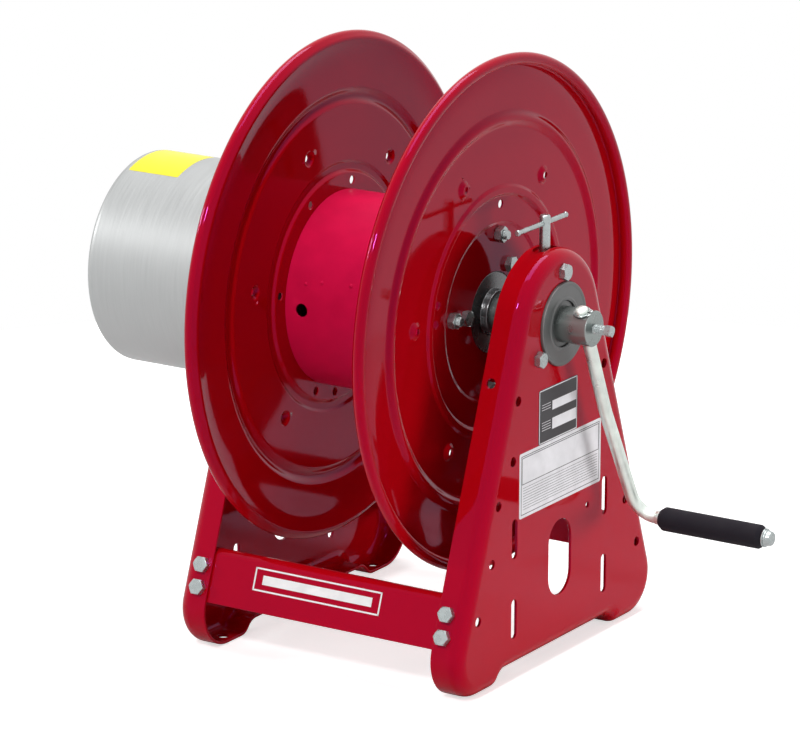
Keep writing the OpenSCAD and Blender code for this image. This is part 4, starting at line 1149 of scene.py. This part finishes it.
    def grip_piece(self) -> Piece:
        """The grip: a thick sleeve with cut-back ends."""
        length, r, b = self.grip_x[1] - self.grip_x[0], self.grip, self.rod + self.grip_play
        cut_in, cut_back = self.grip_cut
        corners = [[b, 0], [r - cut_in, 0], [r, cut_back], [r, length - cut_back],
                   [r - cut_in, length], [b, length]]
        profile = fillet(corners, (0.4, 1.2, 2.0, 2.0, 1.2, 0.4), 5, True)
        return lathe(self.handle_place(self.grip_x[0]), profile, 72, "grip_sleeve", True)

    def washer_piece(self) -> Piece:
        """The washer behind the grip."""
        (r, t), bore = self.washer, self.rod + FIT
        profile = fillet([[bore, 0], [r, 0], [r, t], [bore, t]], 0.3, 3, True)
        place = self.handle_place(self.grip_x[1] + self.end_clear)
        return lathe(place, profile, 64, "washer_grip", True)

    def cap_piece(self) -> Piece:
        """The pressed cap on the rod's end."""
        profile = fillet(self.cap, (0, 0.4, 0.5, 0.9, 1.8, 0, 0, 0), 5, True)
        place = self.handle_place(self.grip_x[1] + self.end_clear + self.washer[1])
        return lathe(place, profile, 64, "cap_pressed", True)

    def build(self) -> None:
        """Builds the crank's pieces and dresses them."""
        for obj, finish, node in ((self.shaft_piece(), SHAFT, "shaft"),
                                  (self.rod_piece(), GALVANISED, "crank_rod"),
                                  (self.ring_piece(), ZINC, "crank_retainer"),
                                  (self.screw_piece(), ZINC, "set_screw")):
            finish_piece(obj, finish, Body.REEL, node)
        finish_piece(self.grip_piece(), GRIP, Body.GRIP, "grip")
        finish_piece(self.washer_piece(), ZINC, Body.REEL, "grip_washer")
        finish_piece(self.cap_piece(), ZINC, Body.REEL, "grip_cap")


# ---- Brake ----------------------------------------------------------------------------


@dataclass(frozen=True)
class Brake:
    """The brake screw over the shaft and the tommy bar through its head."""

    x: float = 139.5
    radius: float = 5.2
    tip: float = 3.5
    low: float = 357.95
    shoulder: float = 363.05
    head: float = 398.0
    high: float = 435.5
    overlap: float = 0.5
    bar_z: float = 427.5
    bar: float = 2.5
    bar_ends: Pair = (-51.0, 39.0)
    knob: float = 3.1
    knob_length: float = 2.9
    reach: float = 20.0

    def screw(self) -> Piece:
        """The screw: plain tip, threaded part under the sheet, plain head with a cross hole."""
        place = Place((self.x, 0, 0), (1, 0, 0), (0, 0, 1))
        r = self.radius
        body = fillet([[0, self.head], [r, self.head], [r, self.high], [0, self.high]],
                      (0, 0.4, 2.2, 0), 8)
        head = lathe(place, body, 64, "head")
        cut(head, lathe(self.bar_place(), shank(self.bar + 2 * FIT, -self.reach, self.reach), 40))
        thread = Thread(r, pitch=2.0, depth=0.9).rod(place, self.shoulder,
                                                     self.head + self.overlap, "rod")
        tip = shank(self.tip, self.low, self.shoulder + self.overlap, 0.6)
        return join([head, thread, lathe(place, tip, 32)], "screw_brake")

    def bar_place(self) -> Place:
        """The middle of the cross hole, with Z along the bar."""
        return Place((self.x, 0, self.bar_z), (1, 0, 0), (0, 1, 0))

    def bar_piece(self) -> Piece:
        """The tommy bar with upset ends."""
        (a, b), r, k = self.bar_ends, self.bar, self.knob
        round_in, taper, knob = 0.3, 0.7, self.knob_length
        corners = [[0, a], [k - round_in, a], [k, a + knob - taper], [r, a + knob],
                   [r, b - knob], [k, b - knob + taper], [k - round_in, b], [0, b]]
        profile = fillet(corners, (0, 0.9, 0.5, 0.3, 0.3, 0.5, 0.9, 0), 4)
        return lathe(self.bar_place(), profile, 40, "bar_upset")

    def build(self) -> None:
        """Builds screw and bar and dresses them."""
        finish_piece(self.screw(), ZINC, Body.SCREW, "brake_screw")
        finish_piece(self.bar_piece(), ZINC, Body.BAR, "tommy_bar")


# ---- Housing --------------------------------------------------------------------------


@dataclass(frozen=True)
class Housing:
    """The spun aluminium cover over the slip rings and its screws."""

    radius: float = 105.7
    wall: float = 1.6
    start: float = -160.4
    end: float = -321.0
    corner: float = 8.0
    edge: float = 0.4
    screw_x: float = -168.65
    screw_phase: float = 45.0
    screw: float = 2.4
    screw_length: float = 6.0
    screw_play: float = 0.8
    pan: tuple[Pair, ...] = ((0, 0), (4.5, 0), (4.3, 1.2), (3.0, 3.0), (0, 3.0))
    slot: Numbers = (3.2, 1.1, 12.0, 1.4)
    gland_x: float = -194.4
    gland_hole: float = 20.8

    def screw_places(self) -> list[Place]:
        """Places of the cover screws, with Z inwards."""
        return [self.radial(self.screw_x, a) for a in ring_angles(4, self.screw_phase)]

    def cover(self) -> Piece:
        """The cover: wall, rounded edge and end, with its screw holes and the gland's hole."""
        r, w, a, b = self.radius, self.wall, self.start, self.end
        corners = [[r - w, a], [r, a], [r, b], [0, b], [0, b + w], [r - w, b + w]]
        radii = (self.edge, self.edge, self.corner, 0, 0, self.corner - w)
        cover = lathe(SHAFT_LINE, fillet(corners, radii, 12, True), 224, "cover_spun", True)
        tools = [punch(place, 2 * self.screw + self.screw_play, 0, w)
                 for place in self.screw_places()]
        return pierce(cover, [*tools, punch(self.radial(self.gland_x, 0.0), self.gland_hole, 0, w)])

    def radial(self, x: float, angle: float) -> Place:
        """A place on the cover, its Z axis towards the shaft, from the downward line."""
        y, z = math.sin(angle), -math.cos(angle)
        return Place((x, self.radius * y, SHAFT_Z + self.radius * z), (1, 0, 0), (0, -y, -z))

    def screws(self) -> Piece:
        """Pan-headed cover screws with a slot across the head."""
        height, width, length, depth = self.slot
        profile = fillet(self.pan, (0, 0.3, 0.8, 1.2, 0), 4)
        thread = Thread(self.screw, pitch=1.0, depth=0.5)
        parts = []
        for place in self.screw_places():
            head = lathe(place.turned(), profile, 32, "head")
            cut(head, punch(place.at(0, 0, -height), width, length, depth, 0.05, 4))
            parts += [head, thread.rod(place, 0, self.screw_length, "rod")]
        return join(parts, "screws_pan")

    def build(self) -> None:
        """Builds the housing's pieces and dresses them."""
        finish_piece(self.cover(), ALUMINIUM, Body.FRAME, "housing_cover")
        finish_piece(self.screws(), ZINC, Body.FRAME, "cover_screws")


# ---- Blank plates and stickers --------------------------------------------------------


@dataclass(frozen=True)
class Label:
    """A thin plate with rounded corners and plain printed fields, with no words on it.

    Fields are boxes (x0, y0, x1, y1) in millimetres on the plate, from its middle.
    """

    name: str
    place: Place
    size: Pair
    ground: Finish | None
    print_finish: Finish
    fields: tuple[Numbers, ...]
    thick: float = 0.35
    corner: float = 2.0
    edge: float = 0.1
    edge_share: float = 0.998
    print_depth: float = 0.05
    print_rise: float = 0.04
    curve: float = 0.0

    def world(self, points: np.ndarray) -> np.ndarray:
        """Turns plate points into frame points, round the X axis of the place if it is curved.

        On a curve of radius R the point (x, y, z) goes to x, (R + z) sin(y / R) and
        (R + z) cos(y / R) - R.
        """
        if self.curve:
            a, r = points[..., 1] / self.curve, self.curve + points[..., 2]
            points = np.stack([points[..., 0], r * np.sin(a), r * np.cos(a) - self.curve], -1)
        return self.place.world(points)

    def plate(self) -> Piece:
        """The plate as rows across it, each as wide as the rounded outline at its height."""
        w, h, c, t = self.size[0] / 2, self.size[1] / 2, self.corner, self.thick
        ends = h - c + c * np.sin(np.linspace(0, np.pi / 2, 6))
        y = np.concatenate([-ends[::-1], np.linspace(-h + c, h - c, 26)[1:-1], ends])
        over = np.maximum(np.abs(y) - (h - c), 0)
        half = w - c + np.sqrt(np.maximum(c * c - over * over, 0))
        x = np.array([-1, -1, -self.edge_share, self.edge_share, 1, 1])
        z = np.array([0, t - self.edge, t, t, t - self.edge, 0])
        points = np.stack(np.broadcast_arrays(half[:, None] * x, y[:, None], z), -1)
        faces = ring_faces(*points.shape[:2], capped=True)
        return make_object(self.name, self.world(points), faces)

    def print_layer(self) -> Piece:
        """The printed fields as thin boxes just proud of the plate."""
        box = np.array(self.fields, float)
        steps = 14 if self.curve else 1
        u = np.linspace(0, 1, steps + 1)
        x = np.stack([box[:, 0], box[:, 2], box[:, 2], box[:, 0]], -1)
        z = self.thick + np.repeat([-self.print_depth, self.print_rise], 2)
        y = box[:, 1][:, None] + (box[:, 3] - box[:, 1])[:, None] * u
        points = np.stack(np.broadcast_arrays(x[:, None, :], y[:, :, None], z), -1)
        count, rows = points.shape[:2]
        faces = [[box_at * rows * 4 + i for i in face] for box_at in range(count)
                 for face in ring_faces(rows, 4, capped=True)]
        return make_object(f"{self.name}_fields", self.world(points), faces)

    def build(self) -> None:
        """Builds plate and fields and dresses them."""
        if self.ground:
            finish_piece(self.plate(), self.ground, Body.FRAME)
        if self.fields:
            finish_piece(self.print_layer(), self.print_finish, Body.FRAME)


def frame_fields(w: float, h: float, inset: float, line: float) -> list[Numbers]:
    """Four boxes that make a frame line inside a plate of width w and height h."""
    x, y = w / 2 - inset, h / 2 - inset
    return [(-x, -y, x, -y + line), (-x, y - line, x, y), (-x, -y, -x + line, y),
            (x - line, -y, x, y)]


def labels(frame: Frame, housing: Housing) -> list[Label]:
    """The blank plates: two on the crank plate, one on the front angle, one on the housing.

    Args:
        frame: The frame that three of them are fixed to.
        housing: The housing that carries the yellow one.

    Returns:
        The labels, each with a frame line and plain bars or rules in place of print.
    """
    face = Place((frame.plate.out_x, 0, SHAFT_Z), (0, 1, 0), (1, 0, 0))
    small, large, strip = (71, 53.6), (151, 64), (145, 24)
    black = frame_fields(*small, 0.6, 1.0) + [(-11, 3, 33.5, 12), (-11, -16, 33.5, -5)]
    black += [(-30, y, -14, y + 0.5) for y in (11, 8.5, 6, -6.5, -9, -11.5, -14)]
    silver = frame_fields(*large, 3.0, 0.7)
    silver += [(a, b + 14, c, d + 14) for a, b, c, d in frame_fields(143, 27, 0.3, 0.7)]
    silver += [(-69, y, 69, y + 0.4) for y in np.linspace(-24, -3, 9)]
    white = frame_fields(*strip, 0.7, 1.6) + [(-62, -4.5, 62, 4.5)]
    skin = frame.plate.on_flange(-8.4, 288.3, 1).at(0, 0, frame.plate.sheet).turned()
    a = math.radians(96.5)
    top = (-281.8, housing.radius * math.cos(a), SHAFT_Z + housing.radius * math.sin(a))
    return [
        Label("plate_black", face.at(-7.0, -83.4, 0), small, PLATE_BLACK, PLATE_SILVER,
              tuple(black)),
        Label("plate_silver", face.at(-1.2, -142.4, 0), large, PLATE_SILVER, PLATE_BLACK,
              tuple(silver)),
        Label("sticker_angle", skin, strip, None, STICKER_WHITE, tuple(white), thick=0.15),
        Label("sticker_housing", Place(top, (1, 0, 0), (0, math.cos(a), math.sin(a))), (59, 66),
              STICKER_YELLOW, STICKER_WHITE, (), thick=0.15, curve=housing.radius),
    ]


# ---- Finishes -------------------------------------------------------------------------

# Where nearly all values of a noise texture lie, and the depth of full bump in metres
NOISE_MIDDLE = (0.3, 0.7)
BUMP_HEIGHT = 0.0004


@dataclass(frozen=True)
class Finish:
    """A surface finish as numbers of the shader, with fine grain from noise.

    Base colours are linear. The grain changes the colour and the roughness by a small share,
    and the bump gives the surface its orange peel, rolling or casting texture.
    """

    name: str
    colour: Triple
    slot: str
    metallic: float = 0.0
    roughness: float = 0.3
    rough_spread: float = 0.1
    colour_spread: float = 0.08
    grain: float = 60.0
    bump: float = 0.05
    bump_grain: float = 400.0
    specular_tint: Triple = (1.0, 1.0, 1.0)
    ior: float = 1.5
    stretch: Triple = (1.0, 1.0, 1.0)

    def material(self) -> bpy.types.Material:
        """Builds the node material, or returns the one already made."""
        found = bpy.data.materials.get(self.name)
        if found:
            return found
        made = bpy.data.materials.new(self.name)
        made.use_nodes = True
        tree = made.node_tree
        shader = tree.nodes["Principled BSDF"]
        shader.inputs["Metallic"].default_value = self.metallic
        shader.inputs["IOR"].default_value = self.ior
        shader.inputs["Specular Tint"].default_value = (*self.specular_tint, 1)
        place = add_node(tree, "TexCoord").outputs["Object"]
        mapping = add_node(tree, "Mapping", Vector=place, Scale=self.stretch)
        self.surface(tree, shader, mapping.outputs["Vector"])
        return made

    def surface(self, tree: NodeTree, shader: bpy.types.Node, vector: Socket) -> None:
        """Adds the colour, the roughness and the bump of this finish.

        Args:
            tree: The material's node tree.
            shader: The shader that they go into.
            vector: The coordinates that they read.
        """
        grain = add_node(tree, "TexNoise", Scale=self.grain, Detail=4.0, Vector=vector)
        grain = grain.outputs["Fac"]
        low = tuple(c * (1 - self.colour_spread) for c in self.colour)
        high = tuple(min(1.0, c * (1 + self.colour_spread)) for c in self.colour)
        tree.links.new(ramp(tree, grain, low, high), shader.inputs["Base Color"])
        rough = add_node(tree, "MapRange", Value=grain, From_Min=NOISE_MIDDLE[0],
                         From_Max=NOISE_MIDDLE[1], To_Min=self.roughness * (1 - self.rough_spread),
                         To_Max=self.roughness * (1 + self.rough_spread))
        tree.links.new(rough.outputs["Result"], shader.inputs["Roughness"])
        fine = add_node(tree, "TexNoise", Scale=self.bump_grain, Detail=3.0, Vector=vector)
        relief = add_node(tree, "Bump", Height=fine.outputs["Fac"], Strength=self.bump,
                          Distance=BUMP_HEIGHT)
        tree.links.new(relief.outputs["Normal"], shader.inputs["Normal"])


def add_node(tree: NodeTree, kind: str, **inputs: object) -> bpy.types.Node:
    """Adds a node and fills its inputs.

    Args:
        tree: The node tree.
        kind: The type of the node, without its prefix ShaderNode.
        inputs: A value or the socket to link, by the input's name with _ for a blank.

    Returns:
        The node.
    """
    node = tree.nodes.new(f"ShaderNode{kind}")
    for name, value in inputs.items():
        socket = node.inputs[name.replace("_", " ")]
        if isinstance(value, Socket):
            tree.links.new(value, socket)
        else:
            socket.default_value = value
    return node


def ramp(tree: NodeTree, value: Socket, low: Triple, high: Triple) -> Socket:
    """Adds a colour ramp over the middle of a noise value and returns its colour."""
    node = add_node(tree, "ValToRGB", Fac=value)
    for element, position, colour in zip(node.color_ramp.elements, NOISE_MIDDLE, (low, high)):
        element.position, element.color = position, (*colour, 1)
    return node.outputs["Color"]


RED = Finish("red_enamel_gloss", (0.42, 0.001, 0.005), "red_enamel", roughness=0.06,
             rough_spread=0.15, colour_spread=0.05, grain=9.0, bump=0.04, bump_grain=260.0,
             specular_tint=(0.8, 0.15, 1.0), ior=1.32)
CRIMSON = Finish("drum_crimson_satin", (0.60, 0.004, 0.052), "drum_enamel", roughness=0.5,
                 colour_spread=0.07, grain=35.0, bump=0.25, bump_grain=700.0,
                 specular_tint=(0.8, 0.2, 0.8), ior=1.3)
ZINC = Finish("zinc_plate", (0.43, 0.47, 0.47), "zinc", metallic=0.85, roughness=0.27,
              rough_spread=0.35, colour_spread=0.08, grain=150.0, bump=0.12)
GALVANISED = Finish("rod_zinc_mottled", (0.77, 0.83, 0.78), "zinc", metallic=0.85,
                    roughness=0.38, rough_spread=0.35, colour_spread=0.12, grain=70.0,
                    bump=0.25, bump_grain=160.0)
BEARING = Finish("bearing_steel_dull", (0.18, 0.18, 0.18), "bearing_steel", metallic=0.8,
                 roughness=0.5, bump=0.1)
SHAFT = Finish("shaft_steel_satin", (0.29, 0.32, 0.31), "shaft_steel", metallic=0.88,
               roughness=0.28, bump=0.1)
IRON = Finish("hub_iron_dark", (0.15, 0.15, 0.155), "dark_iron", metallic=0.9, roughness=0.27,
              bump=0.12, bump_grain=200.0)
LINING = Finish("friction_lining", (0.16, 0.10, 0.07), "friction_lining", roughness=0.8,
                bump=0.3, bump_grain=900.0)
GRIP = Finish("grip_black_rubber", (0.010, 0.008, 0.013), "grip_black", roughness=0.75,
              bump=0.3, bump_grain=1200.0, ior=1.3)
ALUMINIUM = Finish("housing_aluminium", (0.45, 0.46, 0.46), "aluminium", metallic=0.9,
                   roughness=0.44, colour_spread=0.04, grain=22.0, bump=0.35,
                   bump_grain=24.0, stretch=(30.0, 1.0, 1.0))
LAMINATE = Finish("laminate_brown", (0.28, 0.16, 0.07), "laminate", roughness=0.5)
BRASS = Finish("ring_brass_turned", (0.60, 0.40, 0.12), "ring_brass", metallic=1.0,
               roughness=0.25)
BRONZE = Finish("spring_bronze_strip", (0.50, 0.28, 0.12), "spring_bronze", metallic=1.0,
                roughness=0.3)
CARBON = Finish("brush_carbon", (0.02, 0.02, 0.022), "carbon", roughness=0.6)
GLAND = Finish("gland_black_moulded", (0.02, 0.02, 0.022), "gland_black", roughness=0.45)

PLATE_BLACK = Finish("plate_anodised_black", (0.025, 0.022, 0.026), "aluminium", roughness=0.4,
                     bump=0.05)
PLATE_SILVER = Finish("plate_anodised_silver", (0.80, 0.79, 0.82), "aluminium", roughness=0.42,
                      bump=0.05)
STICKER_WHITE = Finish("sticker_white", (0.86, 0.86, 0.86), "aluminium", roughness=0.35)
STICKER_YELLOW = Finish("sticker_yellow", (0.86, 0.78, 0.02), "aluminium", roughness=0.35)

NODE_FINISH = {finish.slot: finish for finish in (
    RED, CRIMSON, ZINC, BEARING, SHAFT, IRON, LINING, GRIP, ALUMINIUM, LAMINATE, BRASS, BRONZE,
    CARBON, GLAND)}


def finish_piece(obj: Piece, finish: Finish, body: Body, *nodes: str) -> None:
    """Gives a piece its material, its body and the construction nodes that it stands for.

    Args:
        obj: The finished piece.
        finish: Its finish.
        body: The body that it rides on.
        nodes: Names of the nodes that it replaces.
    """
    obj.data.materials.clear()
    obj.data.materials.append(finish.material())
    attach(obj, body.value)
    if nodes:
        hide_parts(*nodes)
    log.info("%s: %d faces, on %s", obj.name, len(obj.data.polygons), body.value)


def dress_nodes(frame: dict) -> None:
    """Gives every construction node the material of its slot in the record."""
    slots = {part["node"]: part["material_slot"] for part in frame["record"]["subparts"]}
    for name, obj in frame["nodes"].items():
        obj.data.materials.clear()
        obj.data.materials.append(NODE_FINISH[slots[name]].material())


# ---- Studio ---------------------------------------------------------------------------


@dataclass(frozen=True)
class Softbox:
    """A soft area lamp: its place, what it points at, its size and its power in watts.

    One that isn't mirrored gives light, but is not seen in gloss. The spread is the full
    angle of its beam, in degrees.
    """

    name: str
    place: Triple
    target: Triple
    size: Pair
    power: float
    mirrored: bool = True
    spread: float = 180.0

    def build(self) -> None:
        """Adds the lamp to the scene."""
        light = bpy.data.lights.new(self.name, "AREA")
        light.shape = "RECTANGLE"
        light.size, light.size_y = self.size
        light.energy, light.spread = self.power, math.radians(self.spread)
        lamp = bpy.data.objects.new(self.name, light)
        lamp.location = self.place
        lamp.rotation_euler = look_at(self.place, self.target)
        lamp.visible_glossy, lamp.visible_camera = self.mirrored, False
        bpy.context.scene.collection.objects.link(lamp)


def look_at(place: Triple, target: Triple, roll: float = 0.0) -> Triple:
    """Euler angles that point -Z from a place to a target, with the camera upright.

    Args:
        place: Where the camera or lamp stands.
        target: The point that it looks at.
        roll: Turn about the line of sight, in radians.

    Returns:
        XYZ Euler angles in radians.
    """
    direction = Vector(target) - Vector(place)
    turn = direction.to_track_quat("-Z", "Y").to_matrix() @ Matrix.Rotation(roll, 3, "Z")
    return tuple(turn.to_euler())


@dataclass(frozen=True)
class Studio:
    """Camera, floor, world and lamps."""

    azimuth: float = 32.49
    elevation: float = 15.73
    roll: float = 0.19
    distance: float = 4.7357
    lens: float = 219.96
    sensor: float = 36.0
    clip: Pair = (0.1, 60.0)
    target: Triple = (-0.02194, 0.0, 0.2612)
    around: float = 0.22
    floor_radius: float = 1.2
    floor_below: float = 0.4
    floor_colour: Triple = (0.80, 0.80, 0.80)
    floor_lift: float = 0.65
    lamps: tuple[Softbox, ...] = (
        Softbox("key", (0.28, -2.5, 2.2), (0, 0, 0.3), (0.32, 0.32), 40.0),
        Softbox("side", (-2.5, -1.25, 1.4), (0, 0, 0.3), (0.35, 0.35), 16.0),
        Softbox("fill", (1.5, 0.5, 0.12), (0.16, 0, 0.1), (0.7, 0.24), 1.35, False, 62.0),
        Softbox("top", (-0.1, 0.45, 3.0), (0, 0, 0.3), (1.4, 2.6), 66.0))

    def camera(self) -> None:
        """Adds the camera at the distance and angles that the sizes give."""
        a, e = math.radians(self.azimuth), math.radians(self.elevation)
        back = np.array([math.sin(a) * math.cos(e), -math.cos(a) * math.cos(e), math.sin(e)])
        place = tuple(np.array(self.target) + self.distance * back)
        data = bpy.data.cameras.new("camera")
        data.lens, data.sensor_width, data.sensor_fit = self.lens, self.sensor, "HORIZONTAL"
        data.clip_start, data.clip_end = self.clip
        camera = bpy.data.objects.new("camera", data)
        camera.location = place
        camera.rotation_euler = look_at(place, self.target, math.radians(self.roll))
        bpy.context.scene.collection.objects.link(camera)
        bpy.context.scene.camera = camera

    def world(self) -> None:
        """White behind the object and in its gloss, with pale light from all round."""
        world = bpy.data.worlds.new("studio")
        world.use_nodes = True
        tree = world.node_tree
        rays = add_node(tree, "LightPath")
        plain = tree.nodes["Background"]
        plain.inputs["Color"].default_value = (1, 1, 1, 1)
        plain.inputs["Strength"].default_value = self.around
        seen = add_node(tree, "Background", Color=(1, 1, 1, 1)).outputs["Background"]
        result = plain.outputs["Background"]
        for ray in ("Is Glossy Ray", "Is Transmission Ray", "Is Camera Ray"):
            mix = add_node(tree, "MixShader", Fac=rays.outputs[ray])
            tree.links.new(result, mix.inputs[1])
            tree.links.new(seen, mix.inputs[2])
            result = mix.outputs["Shader"]
        tree.links.new(result, tree.nodes["World Output"].inputs["Surface"])
        bpy.context.scene.world = world

    def floor(self) -> None:
        """A round pale floor that keeps the object's shadow and ends unseen in the white."""
        t = circle(128)
        ring = round_points(self.floor_radius / MM, t, 0 * t - self.floor_below)
        obj = make_object("floor", ring, [list(range(len(t)))])
        made = bpy.data.materials.new("floor_pale")
        made.use_nodes = True
        tree = made.node_tree
        shader = tree.nodes["Principled BSDF"]
        shader.inputs["Base Color"].default_value = (*self.floor_colour, 1)
        shader.inputs["Roughness"].default_value = 1.0
        shader.inputs["Specular IOR Level"].default_value = 0.0
        shader.inputs["Emission Color"].default_value = (1, 1, 1, 1)
        camera_ray = add_node(tree, "LightPath").outputs["Is Camera Ray"]
        lift = add_node(tree, "MapRange", Value=camera_ray, To_Max=self.floor_lift)
        tree.links.new(lift.outputs["Result"], shader.inputs["Emission Strength"])
        obj.data.materials.append(made)

    def build(self) -> None:
        """Adds all of the studio and sets the plain view transform."""
        self.camera()
        self.world()
        self.floor()
        for lamp in self.lamps:
            lamp.build()
        bpy.context.scene.view_settings.view_transform = "Standard"


def main() -> None:
    """Builds the studio and every sub-assembly."""
    logging.basicConfig(level=logging.INFO, format="%(message)s")
    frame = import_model()
    Studio().build()
    dress_nodes(frame)
    body, housing = Frame(), Housing()
    for assembly in (body, Reel(), Bearings(), Crank(), Brake(), housing,
                     *labels(body, housing)):
        log.info("building %s", type(assembly).__name__)
        assembly.build()


if __name__ == "__main__":
    main()
